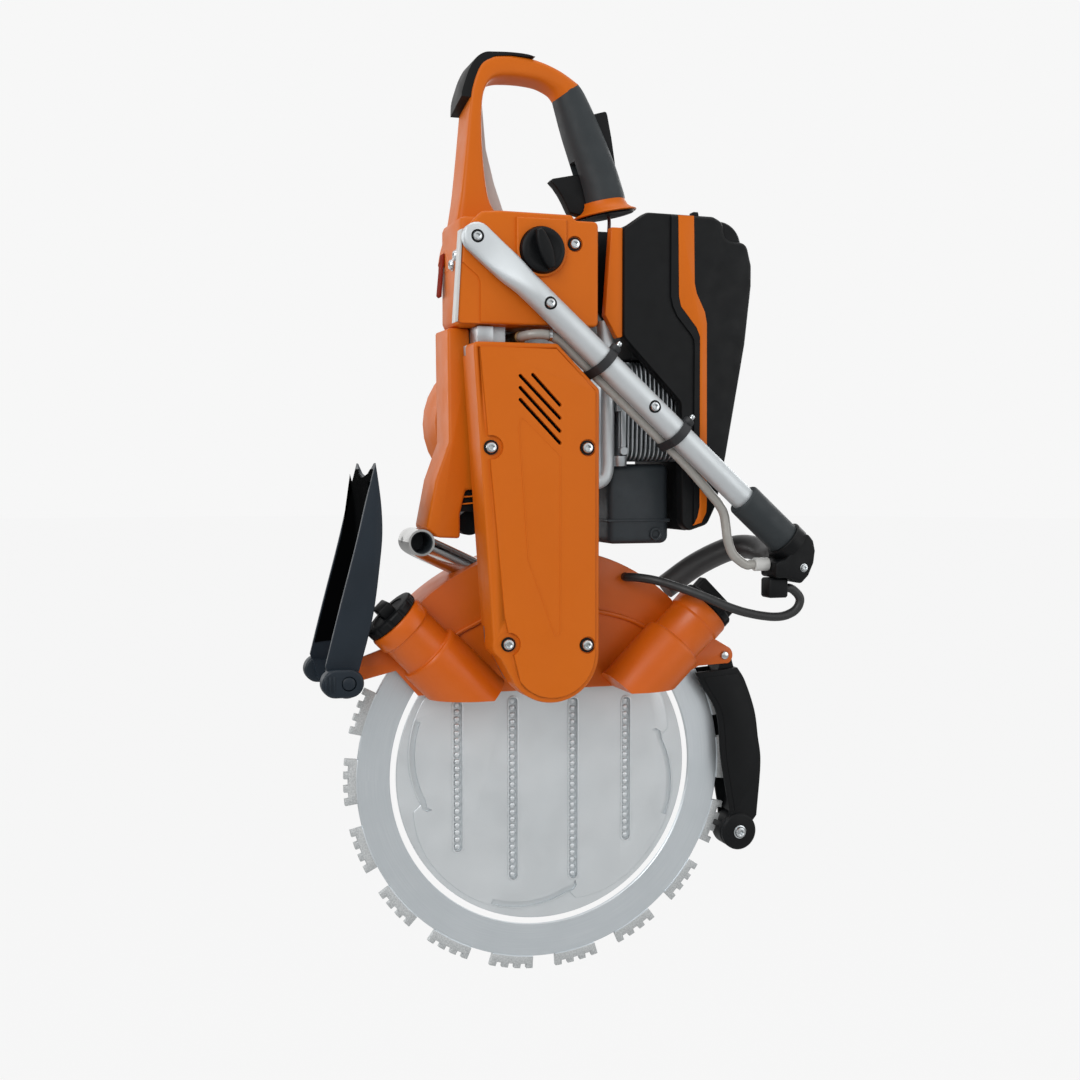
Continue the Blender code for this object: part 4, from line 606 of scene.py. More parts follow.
carve(cover, bores([(-74, 293), (-59, 127)], 10.2, -84.8) + bores([(11, 293), (11, 124)], 7.4, -86))
dressed("cover_side_lip", slab([(-88.2, 371), (-87.1, 371), (-70.8, 140), (-71.9, 140)], -59.3, -47.5),
    orange_nylon)
# A dead-black plate in the pocket behind the slots paints the shade of the cover's dark inside.
dressed("vent_painted_shade", slab(drawn_in(VENT_ROOM, 0.2), -84.6, -84.1), shade_black)

# %% Screws: a low round head with a socket
SCREW_HEAD = [(0, -1.6), (2.5, -1.6), (2.5, -4.0), (3.2, -4.4), (4.6, -4.2), (5.4, -3.2), (5.6, -1.4),
    (6.6, -1.2), (6.6, 0.2)]


def screws(name, places, scale, shade_ring=0, axis=(0, 1, 0), body="saw"):
    """Heads at the places; a shade ring radius adds a black ring round each head, painted shade of its pocket.
    """
    profile = [(r * scale, h * scale) for r, h in SCREW_HEAD]
    heads = [turned(profile, at(*place), axis, 28) for place in places]
    if shade_ring:
        # A black ring under and round each head paints the shade of its pocket or counterbore.
        inner, near = 5.2 * scale, -1.7 * scale
        shade_profile = [(inner, near), (shade_ring, near), (shade_ring, 0.2), (inner, 0.2), (inner, near)]
        rings = [turned(shade_profile, at(*place), axis, 36) for place in places]
        dressed(name + "_shade_rings", gathered(rings), black_nylon, body=body, sharp=35)
    dressed(name, gathered(heads), bright_zinc, body=body, sharp=35)


badge = dressed("badge_frame", slab(bed, -88.3, -87.7), orange_nylon)
carve(badge, [slab(drawn_in(bed, 1.1), -90, -86)])
screws("cover_screws", [(-74, -84.8, 293), (11, -86, 293), (-59, -84.8, 127), (11, -86, 124)], 0.86, 6.2)
print("belt cover faces:", len(cover.data.polygons))

# %% [markdown]
# ## Tank panel and fuel cap
# The panel is a flat moulding with a raised U round the filler and a lower field at its back corner. A pale
# edging strip closes it to the left. The cap is a turned disc with a leaning grip bar.

# %% Tank panel
PANEL_POINTS = softened([(26, 397), (26, 487), (5, 487), (2, 491.6), (-61, 492), (-77.6, 490.6), (-94, 474),
    (-99, 397)], 5)
panel = dressed("tank_side_moulding", slab(PANEL_POINTS, -73.3, -64.3, 4, 4), orange_nylon, "tank_panel")
carve(panel, [slab([(-120, 449), (-94, 447), (-81, 436), (-79.3, 431), (-79.3, 380), (-120, 380)], -80, -72),
    rod(15, -20, 20, over(FILLER, -70), steps=40)])
carve(panel, bores([(4.4, 467)], 6.9, -71.2))
collar = [(-3.5, 487), *arc(*FILLER, 22.5, 0, -180, 28), (-48.5, 487)]
boss = dressed("filler_boss", slab(collar, -76.2, -72.5, 1.8, 3), orange_nylon)
carve(boss, [rod(20.2, -20, 20, over(FILLER, -76), steps=56)])
dressed("panel_edging", slab([(-96.8, 474), (-94.6, 475), (-99, 398), (-102, 397)], -74.2, -64.6, 0.8, 2),
    trim_grey)
screws("panel_screw", [(4.4, -71.2, 467)], 0.8, 5.8)
screws("skid_screws", [(-95, -56, 455), (-95, -42, 449)], 0.8, axis=(1, 0, 0))
dressed("tank_bracket", slab(oblong(-73, -53, 378, 398), -58, -46, 1, 2), cast_alloy)
SHROUD = [(27, 424), (38, 418), (48, 404), (60, 404), (60, 486), (27, 486)]
dressed("side_shroud", slab(SHROUD, -33, -29, 1, 2), black_nylon)

# %% Vent beside the shell, with two ribs, and the dark boss below it
dark_boss = turned([(0, 0), (10.4, 0), (10.8, 0.4), (10.8, 14), (0, 14)], at(-75, -20, 227.5), steps=40)
vent = slab(oblong(-88.6, -70, 238, 258), -36, -30, 0.6, 2)
dressed("shell_vent", gathered([vent, dark_boss]), black_nylon)
ribs = [slab([(-88.6, z), (-70, z + 1.4), (-70, z + 2.6), (-88.6, z + 1.2)], -39, -35.6) for z in (244, 250)]
dressed("vent_ribs", gathered(ribs), orange_nylon)

# %% Fuel cap
dressed("fuel_cap_disc", turned([(0, -7.2), (12, -7.2), (13.5, -8), (17, -8), (18.8, -7), (19.5, -5.2),
    (19.5, -0.4), (14.6, -0.4), (14.6, 9), (0, 9)], over(FILLER, -73.3), steps=72), black_nylon, "fuel_cap",
    body="cap")
lean = math.radians(20)
side = Vector((math.cos(lean), math.sin(lean)))
along = Vector((-math.sin(lean), math.cos(lean)))
middle = Vector(FILLER)
LENS = [(-17.4, 2.6), (-12, 4.6), (-5, 5.8), (0, 6), (5, 5.8), (12, 4.6), (17.4, 2.6)]
rim = LENS + [(run, -wide) for run, wide in reversed(LENS)]
lens = [tuple(middle + along * run + side * wide) for run, wide in rim]
dressed("fuel_cap_bar", slab(lens, -87.8, -80, 2.4, 4), black_nylon, body="cap")
print("panel and cap made")

# %% [markdown]
# ## Rear handle, grip and levers
# The loop is one orange moulding whose section changes all the way: a tall box in the back leg, a rounded bar
# over the top, a small oval where the rubber begins. So it is built from rings of points, each with its own
# width, depth and roundness, bridged one after another. The rubber grip is made the same way.

# %% A body from sections
HANDLE_Y = -8


def oval(steps, power):
    """Shares of width and depth round a section: an ellipse at power 1, nearly a box near 0."""
    shares = [(math.cos(turn), math.sin(turn)) for turn in all_round(steps)]
    return [[math.copysign(abs(share) ** power, share) for share in pair] for pair in shares]


def bridged(rings, closed=False):
    """Rings of points, each joined to the next; the two ends are filled, or joined when closed."""
    build = bmesh.new()
    loops = []
    for ring in rings:
        knots = [build.verts.new(point) for point in ring]
        loops.append([build.edges.new((knots[i - 1], knots[i])) for i in range(len(knots))])
    for one, other in zip(loops, loops[1:] + loops[:closed]):
        bmesh.ops.bridge_loops(build, edges=one + other)
    if not closed:
        bmesh.ops.holes_fill(build, edges=loops[0] + loops[-1])
    return build


def sectioned(sections):
    """Each section: outer and inner point on the drawing, half depth, roundness."""
    rings = []
    for outer, inner, deep, power in sections:
        middle = (Vector(outer) + Vector(inner)) / 2
        reach = Vector(outer) - middle
        rings.append([at(middle.x + reach.x * side, HANDLE_Y + back * deep, middle.y + reach.y * side)
            for side, back in oval(44, power)])
    return bridged(rings)


def between(knots, steps=4):
    """More sections on smooth curves through the given ones."""
    lines = [smoothed([Vector((*k[0], k[2])) for k in knots], steps),
        smoothed([Vector((*k[1], k[3])) for k in knots], steps)]
    return [((a.x, a.y), (b.x, b.y), a.z, b.z) for a, b in zip(*lines)]


def smoothed(points, steps):
    """More points on the smooth curve through a route's own points."""
    knots = [2 * points[0] - points[1], *points, 2 * points[-1] - points[-2]]
    route = []
    for a, b, c, d in zip(knots, knots[1:], knots[2:], knots[3:]):
        for step in range(steps):
            t = step / steps
            bend = (2 * a - 5 * b + 4 * c - d) * t ** 2 + (3 * b - a - 3 * c + d) * t ** 3
            route.append(0.5 * (2 * b + (c - a) * t + bend))
    return route + [points[-1]]


def flowing(points, steps=6):
    """The same for points on the drawing."""
    return [(p.x, p.z) for p in smoothed([Vector((x, 0, z)) for x, z in points], steps)]


def across(points, left, right):
    """A body across the saw: y and z on the drawing, pushed along x."""
    build = bmesh.new()
    pushed(build, [at(left, y, z) for y, z in points], ((right - left) * MM, 0, 0))
    return build


# %% Loop
LOOP = [((-98, 446), (-52, 446), 20, 0.3), ((-95, 466), (-48, 470), 20, 0.3),
    ((-89, 486), (-48, 492), 20, 0.3), ((-86, 502), (-55.5, 505), 20, 0.3),
    ((-84, 515), (-59.5, 517), 20, 0.3), ((-81, 541), (-63, 544), 20, 0.3),
    ((-78, 570), (-64.5, 572), 20, 0.3), ((-76, 590), (-64, 592), 20, 0.3),
    ((-73.4, 607), (-61.5, 604), 20, 0.32), ((-66.5, 625.5), (-55.5, 612.5), 19.8, 0.36),
    ((-56, 633.8), (-47, 616), 19.4, 0.42), ((-40, 636.6), (-36, 617), 18.8, 0.46),
    ((-22, 636.2), (-22, 616.8), 17.8, 0.5), ((-5, 633.2), (-9.6, 615), 16.4, 0.56),
    ((10, 628.4), (-2, 611.6), 15, 0.66), ((20.5, 623.6), (3, 607.8), 14.2, 0.8),
    ((29, 618.9), (6.4, 602.8), 14, 0.9)]
loop = dressed("rear_handle_loop", sectioned(between(LOOP)), orange_nylon, "rear_handle", sharp=60)
FOOTBAR = softened([(-62, 470), (-62, 499), (16, 499), (19, 495), (41, 495), (41, 470)], 4)
carve(loop, [slab(FOOTBAR, -28, 12, 5, 4, True)], "UNION", 60)
carve(loop, [across([(-40, 476), (24, 448), (24, 430), (-40, 430)], -110, -95.2)], sharp=60)
TRIGGER_ROOM = [(-5, 550), (37, 550), (50, 514), (52, 505), (46, 497), (-5, 497)]
carve(loop, [slab(TRIGGER_ROOM, -14.6, -1.4)], sharp=60)
print("loop faces:", len(loop.data.polygons))

# %% Saucer under the grip
SAUCER = at(53.8, HANDLE_Y, 514.7)
SAUCER_AXIS = Vector((0.193, 0, -0.981))
dressed("grip_saucer", turned([(0, -2), (20.6, -2), (21, 0.5), (22.5, 4), (25.6, 6.8), (29, 8.4), (29.6, 9.2),
    (28.8, 10), (0, 10)], SAUCER, SAUCER_AXIS, 72), orange_nylon)
dressed("saucer_pad", turned([(0, 9.8), (27.4, 9.8), (26.4, 11.4), (0, 11.4)], SAUCER, SAUCER_AXIS, 64),
    black_nylon)

# %% Rubber grip
GRIP = [((28.2, 619.9), (6.0, 603.5), 13.8, 1), ((29, 619.0), (6.4, 602.6), 14.1, 0.96),
    ((34.8, 611), (8.8, 594.5), 15, 0.92), ((45.8, 589.8), (15.3, 573), 16.8, 0.9),
    ((56.5, 566.8), (23.3, 550), 18.2, 0.9), ((66, 544.2), (30.4, 529), 19.4, 0.92),
    ((72.4, 526), (34, 514.8), 20.2, 0.96), ((74, 520.6), (34.6, 511.6), 20.2, 1),
    ((73, 519.4), (35.4, 511.0), 19.4, 1)]
grip = dressed("rubber_sleeve", sectioned(between(GRIP)), grip_rubber, "rubber_grip", sharp=60)
lock_slot = slab([(24, 590), (40, 600), (60, 606), (84, 535), (48, 536), (38, 560)], -14.1, -1.9)
carve(grip, [slab(TRIGGER_ROOM, -14.6, -1.4), lock_slot], sharp=60)

# %% [markdown]
# The trigger has a hollowed front for the fingers. The lock lever along the back of the grip has to be
# pressed before it can move. Both are small black mouldings in slots of the rubber.

# %% Trigger and lock lever
TRIGGER = [(2.3, 531.6), (4.6, 534), (28.6, 539.2), (36, 531), (42, 514), (47, 507), (45, 502), (36, 501.4),
    (25.3, 503.6), (20.4, 504.6), (18.4, 508.4), (15.6, 514), (11.7, 520.6), (7.2, 526.6)]
dressed("trigger_moulding", slab(TRIGGER, -14, -2, 1.2, 3, True), black_nylon, "throttle_trigger",
    body="trigger")
LOCK = [(37, 588), (42.4, 593.4), (53.6, 596.8), (55.4, 596.4), (56.4, 593.8), (60.4, 574), (63.8, 552),
    (64.4, 545), (60, 541.6), (55, 542), (51, 547), (45, 566)]
dressed("lock_moulding", slab(LOCK, -13.5, -2.5, 1.0, 3, True), black_nylon, "trigger_lock", body="lock")

# %% [markdown]
# The bumper is a hard black cap over the loop's back corner: a thin skin along the top that grows to a thick
# heel, cut off at a slope.

# %% Bumper
OUTSIDE = [(-83.6, 580), (-83.2, 596.6), (-80, 609), (-75.6, 620.8), (-69.8, 630.2), (-62, 635.6),
    (-53, 636.8), (-38, 637.6), (-24, 637.2), (-16, 635.6)]
INSIDE = [(-24, 634.6), (-38, 635), (-53, 633), (-61.4, 627.4), (-67.4, 617.6), (-71, 606), (-74.2, 590),
    (-75.4, 580)]
outline = flowing(OUTSIDE, 4) + INSIDE
bumper = dressed("bumper_moulding", slab(outline, -26.6, 10.6, 1.2, 3, True), black_nylon, "handle_bumper",
    sharp=45)
carve(bumper, [across([(-40, 599.6), (24, 583.4), (24, 560), (-40, 560)], -100, -40)], sharp=45)

# %% [markdown]
# A bare grey plate shows through the loop, fixed inside its back leg. It has no lettering here.

# %% Plate inside the loop
PLATE = [(-64, 601), (-54.8, 601), (-51.2, 560.6), (-43.4, 530), (-32, 498), (-64, 498)]
dressed("loop_inner_plate", slab(softened(PLATE, 3), 9.2, 11.8, 0.6, 2), trim_grey)
GRIP_RUN = (at(55, HANDLE_Y, 514) - at(17, HANDLE_Y, 611)).normalized()

# %% [markdown]
# ## Air filter cover
# A big black moulding with a soft rim. A lower field lies to the left of an S-shaped step. An orange stripe
# follows that step; it is an inlay, so it stands a hair above the black.

# %% Filter cover, step and stripe
FILTER_POINTS = [(117, 219), (136, 225), (145, 243), (154, 287), (172, 387), (178, 440), (178, 458),
    (173, 478), (151, 480), (150, 495), (140, 500), (76, 500.5), (54, 485), (54, 391), (109, 334),
    (110.5, 226)]
filter_cover = dressed("filter_cover_moulding", slab(softened(FILTER_POINTS, 9), -62, -49, 5, 5),
    black_nylon, "filter_cover")
step = [(98.5, 520), (98.5, 428), (100.5, 419), (105, 410), (118, 395), (121, 390), (121.5, 384),
    (121.5, 200), (40, 200), (40, 520)]
carve(filter_cover, [slab(step, -75, -60.2)])
STRIPE = [(121, 224.5), (129, 227), (133.5, 236), (134, 243), (133, 405), (131, 415), (123, 431), (121, 440),
    (120, 499), (105, 499), (106, 428), (108, 419), (123, 401), (126.5, 393), (127, 241), (125, 232)]
dressed("filter_stripe", slab(STRIPE, -62.5, -60.6, 0.3, 2), orange_nylon)
WEDGE = softened([(43.6, 486), (38, 409.5), (49.4, 389.6), (54.4, 391), (54.4, 486)], 1.5)
dressed("side_panel_moulding", slab(WEDGE, -57.6, -49, 1, 3), orange_nylon, "side_panel")
LUG = softened([(121, 498), (121, 503.4), (126, 503.4), (127, 498)], 1)
dressed("filter_lug", slab(LUG, -58, -50, 0.6, 2), black_nylon)
dressed("filter_corner_lid", turned([(0, -4), (20, -4), (21.5, -2.5), (21.5, 10), (0, 10)], at(147, -53, 475),
    steps=56), black_nylon)

# %% [markdown]
# ## Cylinder, muffler and inlet
# The cylinder lies on its side, so its cooling fins stand upright. The real fins are close together: fifteen
# of them, each a thin cast plate with round corners. The muffler is a folded box with a seam and an outlet.

# %% Cylinder with close fins
FIN_FROM, FIN_PITCH, FIN_THICK = 55.5, 4.2, 1.7
FIN_SHAPE = softened(oblong(-46, 50, 282, 371), 14)
fins = []
for number in range(15):
    left = FIN_FROM + FIN_PITCH * number
    fin = across(FIN_SHAPE, left, left + FIN_THICK)
    rims = [edge for edge in fin.edges if abs(edge.verts[0].co.x - edge.verts[1].co.x) < 0.1 * MM]
    rounded(fin, rims, 0.5, 2)
    fins.append(fin)
barrel = rod(31, 40.5, 117, at(0, 2, 326), (1, 0, 0), 56)
dressed("finned_cylinder", gathered(fins + [barrel]), cast_alloy, "cylinder")

# %% Muffler
def cube(size):
    build = bmesh.new()
    bmesh.ops.create_cube(build, size=1.0)
    bmesh.ops.scale(build, vec=size * MM, verts=build.verts)
    return build


def rounded_box(low, high, radius, steps=4):
    """A block between two drawing corners with all edges rounded."""
    low, high = Vector(low), Vector(high)
    build = cube(high - low)
    bmesh.ops.translate(build, vec=at(*(low + high) / 2), verts=build.verts)
    rounded(build, build.edges[:], radius, steps)
    return build


dressed("muffler_box", gathered([rounded_box((50, -34, 207.3), (110, 44, 279.5), 7, 5),
    rounded_box((49.2, -34.8, 227), (110.6, 44.8, 230), 1.2, 3)]), stove_paint, "muffler", sharp=40)
dressed("muffler_outlet", turned([(0, 2), (3.6, 2), (3.6, -1.6), (4.4, -2.2), (5.6, -2), (6, -1.2), (6, 3),
    (0, 3)], at(96, -34, 216), steps=32), stove_paint)

# %% [markdown]
# Beside the cylinder stand a small cast block, a lever with its clevis, and a round boss: parts of the
# decompression and throttle linkage, as far as they can be read in the photograph.

# %% Small linkage by the cylinder
linkage = [rounded_box((52, -50, 326), (66, -44, 340.5), 1.2),
    rounded_box((56, -50.5, 290), (61, -47.5, 327), 1.0),
    turned([(0, -3), (3.4, -3), (4, -2.2), (4, 3), (0, 3)], at(58.5, -49, 291), steps=24),
    turned([(0, -5), (5.5, -5), (6.2, -4), (6.2, 4), (0, 4)], at(56.5, -46, 282.5), (0, 0, 1), 32)]
dressed("throttle_linkage", gathered(linkage), cast_alloy, sharp=35)
print("fins:", len(fins))

# %% [markdown]
# ## Front handle tube
# A drawn aluminium tube, pressed flat at its upper end where it is bolted to the tank. It is built from cross
# sections: each ring of points has its own width and depth, and the rings are bridged one after another. The
# three bolts sit in counterbores, each ringed in black that paints the counterbore's shade.

# %% Tube from cross sections
TUBE_Y, TUBE_BACK = -84.6, -73.6
END_WIDTH, END_DEPTH, NARROWING = 12.8, 5.5, 1.8
TUBE_FROM = Vector((-84, TUBE_Y, 467))
TUBE_RUN = (Vector((205, TUBE_Y, 207)) - TUBE_FROM).normalized()
TUBE_SIDE = Vector((TUBE_RUN.z, 0, -TUBE_RUN.x))


def eased(share):
    """From 0 to 1 with a soft start and a soft end."""
    share = min(max(share, 0), 1)
    return share * share * (3 - 2 * share)


rings = []
for place in [-12.7, -12, -10.6, -8, -4, 0] + [4 * i for i in range(1, 84)]:
    full = eased((place - 8) / 62)
    if place > 0:
        wide = END_WIDTH - NARROWING * eased((place - 34) / 24)
    else:
        wide = math.sqrt(END_WIDTH ** 2 - place ** 2)
    deep = END_DEPTH + END_DEPTH * full
    ring = []
    for side, back in oval(40, 0.5 + 0.5 * full):
        spot = TUBE_FROM + TUBE_RUN * place + TUBE_SIDE * (side * wide)
        ring.append(at(spot.x, TUBE_BACK - deep + back * deep, spot.z))
    rings.append(ring)
tube = dressed("front_tube", bridged(rings), drawn_tube, "front_handle_tube", sharp=60)
spots = [(TUBE_FROM + TUBE_RUN * place) for place in (-1, 80, 207)]
seats = [(spot.x, depth, spot.z) for spot, depth in zip(spots, (-82.4, -93.2, -93.2))]
carve(tube, [rod(5.6, -20, 0, at(*seat), steps=40) for seat in seats], sharp=60)

# %% Its bolts
screws("tube_bolts", seats, 0.74, 5.4)
print("tube sections:", len(rings))

# %% [markdown]
# The lower end wears a rubber sleeve with a rounded foot, held in a black clamp: a collar round the sleeve
# and a block that carries the cross bar, closed by one bolt.

# %% Sleeve and clamp
foot = at(205, TUBE_Y, 207)
dressed("front_rubber_sleeve", turned([(11.2, -62), (14.6, -62), (15.3, -61), (15.5, -59), (15.5, -8),
    (15.2, -3), (14, -0.4), (0, 0)], foot, TUBE_RUN, 56), grip_rubber, "front_sleeve", sharp=50)
CLAMP = [(194.6, 195.5), (215.4, 218.5), (221.5, 211), (223.5, 202), (222, 191), (217, 180), (209.5, 172.5),
    (197, 178), (184, 178), (184, 192)]
dressed("clamp_block", slab(softened(CLAMP, 4), -100.1, -69.1, 3, 4, True), black_nylon, "handle_clamp",
    sharp=45)
dressed("clamp_collar", turned([(15.6, -9), (17.4, -9), (18.2, -8.2), (18.2, 2), (15.6, 2), (15.6, -9)], foot,
    TUBE_RUN, 56), black_nylon, sharp=40)
screws("clamp_bolt", [(211.5, -99.9, 187)], 0.56)

# %% [markdown]
# ## Hoses, straps, cable and cross bar
# Each hose is a curve through the engineering model's points, so its length is true. The water hose is clear
# vinyl and runs behind the tube in two rubber straps, which end in small bright pins.

# %% A tube along a route
def piped(name, points, radius, material, node=None):
    curve = bpy.data.curves.new(name, "CURVE")
    curve.dimensions = "3D"
    curve.resolution_u = 8
    curve.bevel_depth = radius * MM
    curve.bevel_resolution = 6
    curve.use_fill_caps = True
    spline = curve.splines.new("BEZIER")
    spline.bezier_points.add(len(points) - 1)
    for knot, point in zip(spline.bezier_points, points):
        knot.co = point
        knot.handle_left_type = knot.handle_right_type = "AUTO"
    return owned(placed(name, curve), material, "saw", node)


TUBE_RADIUS, HOSE_RADIUS = 11, 4.2
HOSE_SIDE, HOSE_REACH = 11.5, 15.8
HOSE_BACK = math.sqrt(HOSE_REACH ** 2 - HOSE_SIDE ** 2)
HOSE_OFF = Vector((HOSE_SIDE, HOSE_BACK))


def beside_tube(distance):
    spot = TUBE_FROM + TUBE_RUN * distance + TUBE_SIDE * HOSE_SIDE
    return at(spot.x, spot.y + HOSE_BACK, spot.z)


# %% Water hose, spray hose and throttle cable
water = [at(-40, -60.3, 388), at(-40, -63, 388), at(-40, -66, 388), at(-34, -72, 389), at(-22, -75, 389)]
water += [beside_tube(place) for place in (112, 130, 160, 200, 240, 266)]
water += [at(132, -76, 252), at(142.5, -79, 236), at(145, -82, 214), at(150, -84, 199), at(162, TUBE_Y, 190),
    at(166, TUBE_Y, 190), at(169.7, TUBE_Y, 190)]
spray = [at(200.3, TUBE_Y, 168), at(208, TUBE_Y, 167), at(216, -85, 158), at(211, -84, 147),
    at(193, -82, 142), at(160, -76, 148), at(125, -61, 163), at(98, -41, 173), at(82, -28, 176),
    at(75, -19, 176), at(75, -15, 176), at(75, -12.3, 176)]
end = at(65.7, HANDLE_Y, 478)
start = at(55, HANDLE_Y, 514) + GRIP_RUN * 5.3 * MM
cable = [start, start + Vector((3.2, 0, -8)) * MM, end + Vector((-6, 0, 6)) * MM,
    end - Vector((3, 0, 0)) * MM, end]
for name, points, radius, material, node in (
        ("water_hose_vinyl", smoothed(water, 2), HOSE_RADIUS, clear_vinyl, "water_hose"),
        ("spray_hose_rubber", smoothed(spray, 3), 4.0, hose_rubber, "spray_hose"),
        ("throttle_sheath", smoothed(cable, 4), 1.6, cable_sheath, "throttle_cable")):
    hose = piped(name, points, radius, material, node)
CLIP = [(4.5, -1.4), (5.5, -1.2), (5.5, 1.2), (4.5, 1.4), (4.5, -1.4)]
dressed("hose_clip", turned(CLIP, at(-19, -75.4, 389), (1, 0, 0), 32), bright_zinc)

# %% Straps with pins
def strap(number, distance):
    """A flat band round the tube and the hose, with an ear and a pin."""
    lean = math.degrees(math.atan2(HOSE_OFF.y, HOSE_OFF.x))
    spread = math.degrees(math.acos((TUBE_RADIUS - HOSE_RADIUS) / HOSE_OFF.length))
    middle = TUBE_FROM + TUBE_RUN * distance
    rings = []
    for extra, shift in ((0.3, -4), (2.0, -4), (2.0, 4), (0.3, 4)):
        points = arc(0, 0, TUBE_RADIUS + extra, lean + spread, lean + 360 - spread, 40)
        points += arc(*HOSE_OFF, HOSE_RADIUS + extra, lean - spread, lean + spread, 16)
        rings.append([at(*(middle + TUBE_SIDE * x + Vector((0, y, 0)) + TUBE_RUN * shift))
            for x, y in points])
    dressed(f"strap_{number}", bridged(rings, True), strap_rubber, f"hose_strap_{number}", sharp=40)
    head = middle - TUBE_SIDE * 12 + Vector((0, -3, 0))
    dressed(f"strap_{number}_ear", turned([(0, -1), (4.4, -1), (5, 0), (5, 3.4), (4, 4.4), (0, 4.4)],
        at(*head), -TUBE_SIDE, 28), strap_rubber, sharp=40)
    dressed(f"strap_{number}_pin", turned([(0, 4), (2.2, 4), (2.2, 6.5), (2.6, 7), (2.2, 8.6), (0, 9)],
        at(*head), -TUBE_SIDE, 20), bright_zinc, sharp=40)


strap(1, 149)
strap(2, 241)

# %% Cross bar and inlet pipe
bar = [at(204, -68.8 + d, 195) for d in (0, 6, 12)]
bar += [at(206, -36, 197), at(203, -10, 201), at(190, 10, 198), at(160, 19, 183), at(128, 20, 162)]
piped("cross_bar_tube", smoothed(bar, 3), 11.5, bar_coat, "cross_bar")
inlet = [(34, 263), (42, 267), (45.3, 278), (45.3, 300), (45.3, 376), (42.3, 406)]
inlet = smoothed([over(spot, -41.2) for spot in inlet], 4)
piped("inlet_pipe_casting", inlet, 7.2, drawn_tube, "inlet_pipe")

# %% [markdown]
# ## Ring blade
# A flat steel ring with eighteen brazed segments, each with four teeth. The ring is turned; a segment is a
# small comb outline, pushed to its thickness and turned to its place, as in the brazing jig.

# %% Ring and segments
SEGMENTS, TOOTH_REACH, GAP_REACH, BRAZED = 18, 185, 181, 173.2
ring = turned([(144, -1.4), (144.6, -2), (173.2, -2), (173.7, -1.5), (173.7, 1.5), (173.2, 2), (144.6, 2),
    (144, 1.4), (144, -1.4)], CENTRE, steps=180)
half = math.radians(6.5)
comb = []
for strip in range(7):
    for share in (0.04, 0.96) if strip % 2 else (0, 1):
        turn = -half + 2 * half * (strip + share) / 7
        comb.append(polar(GAP_REACH if strip % 2 else TOOTH_REACH, turn))
comb += [polar(174.6, half), *[polar(BRAZED, half * share) for share in (0.97, 0.5, 0, -0.5, -0.97)],
    polar(174.6, -half)]
teeth = []
for number in range(SEGMENTS):
    build = slab(comb, -2.7, 2.7, 0.35, 2, True)
    turn = Matrix.Rotation(-2 * math.pi * number / SEGMENTS, 3, "Y")
    bmesh.ops.rotate(build, cent=CENTRE, matrix=turn, verts=build.verts)
    teeth.append(build)
blade = dressed("ring_blade_steel", gathered([ring] + teeth), ring_steel, "ring_blade", body="ring", sharp=30)
print("blade faces:", len(blade.data.polygons))

# %% [markdown]
# ## Still disc
# A pressed sheet. Its middle field stands a little forward; four spiral edges, a quarter turn apart, end in a
# slit with a small hook, which feeds water outwards. Four long slots hold a row of pressed beads each.

# %% Disc with its raised field
disc = dressed("centre_sheet", turned([(0, -1.5), (137.4, -1.5), (138, -0.9), (138, 1.5), (0, 1.5)], CENTRE,
    steps=144), pressed_sheet, "centre_disc")


FIRST_HOOK, QUARTER = 13, 90
EDGE_REACH, EDGE_RISE, EDGE_FALL = 126, 7, 15


def spiral(turn):
    """Radius of the raised field's edge, and the same again each quarter turn."""
    part = ((turn - FIRST_HOOK) % QUARTER) / QUARTER
    rise = min(part / 0.3, 1)
    fall = max((part - 0.5) / 0.5, 0)
    return EDGE_REACH + EDGE_RISE * rise * (2 - rise) - EDGE_FALL * fall * fall


field = [polar(spiral(a), math.radians(a)) for a in range(0, 360, 2)]
carve(disc, [slab(field, -2.7, -1.2, 0.7, 3)], "UNION")
SLIT = 5.0
slits = []
for hook in range(FIRST_HOOK, 360, QUARTER):
    outer = [(turn, spiral(turn) - 1.2) for turn in range(hook - 36, hook, 3)]
    outer += [(hook + 1, 118.5), (hook + 3, 115)]
    inner = [(turn, radius - SLIT) for turn, radius in reversed(outer)]
    slits.append(slab([polar(r, math.radians(a)) for a, r in outer + inner], -6, 0.2))
DIAGONALS = (math.pi / 4, 3 * math.pi / 4)
rollers = [rod(17, -20, 20, over(polar(130.5, a)), steps=40) for a in DIAGONALS]
wheel = rod(26.7, -20, 20, over(DRIVE))
top = rounded_box((-160, -20, 100), (160, 20, 190), 1)
carve(disc, slits + rollers + [wheel, top])

# %% Slots with beads
BEAD_PITCH, BEAD_RADIUS = 6.4, 2.7
SLOTS = ((-82, 63, -66), (-30, 64, -96), (28, 61, -100), (80, 59, -68))
carve(disc, [slab(capsule((x, low), (x, high), 5.3), -3.7, -1.4, 0.5, 2) for x, high, low in SLOTS], "UNION")
carve(disc, [slab(capsule((x, low), (x, high), 4.0), -8, 0.4) for x, high, low in SLOTS])
beads = []
for x, high, low in SLOTS:
    count = round((high - low) / BEAD_PITCH)
    for number in range(count + 1):
        bead = bmesh.new()
        bmesh.ops.create_uvsphere(bead, u_segments=14, v_segments=8, radius=BEAD_RADIUS * MM)
        bmesh.ops.scale(bead, vec=(1.15, 0.5, 1), verts=bead.verts)
        bmesh.ops.translate(bead, vec=at(x, -0.2, low + (high - low) * number / count), verts=bead.verts)
        beads.append(bead)
dressed("slot_beads", gathered(beads), pressed_sheet, sharp=60)
print("beads:", len(beads))

# %% [markdown]
# ## Hood and roller cover
# The hood is an enamelled casting: an arched wall over the ring. The roller cover closes its near side, a
# thin plate with two bell-shaped housings at forty-five degrees. The bells are turned, cut off below the
# straight foot and behind the plate, as a mill would do it, and joined to the plate.

# %% Hood
def arch(radius, half_width, foot):
    end = math.degrees(math.acos(half_width / radius))
    return [(half_width, foot), *arc(0, 28, radius, end, 180 - end, 60), (-half_width, foot)]


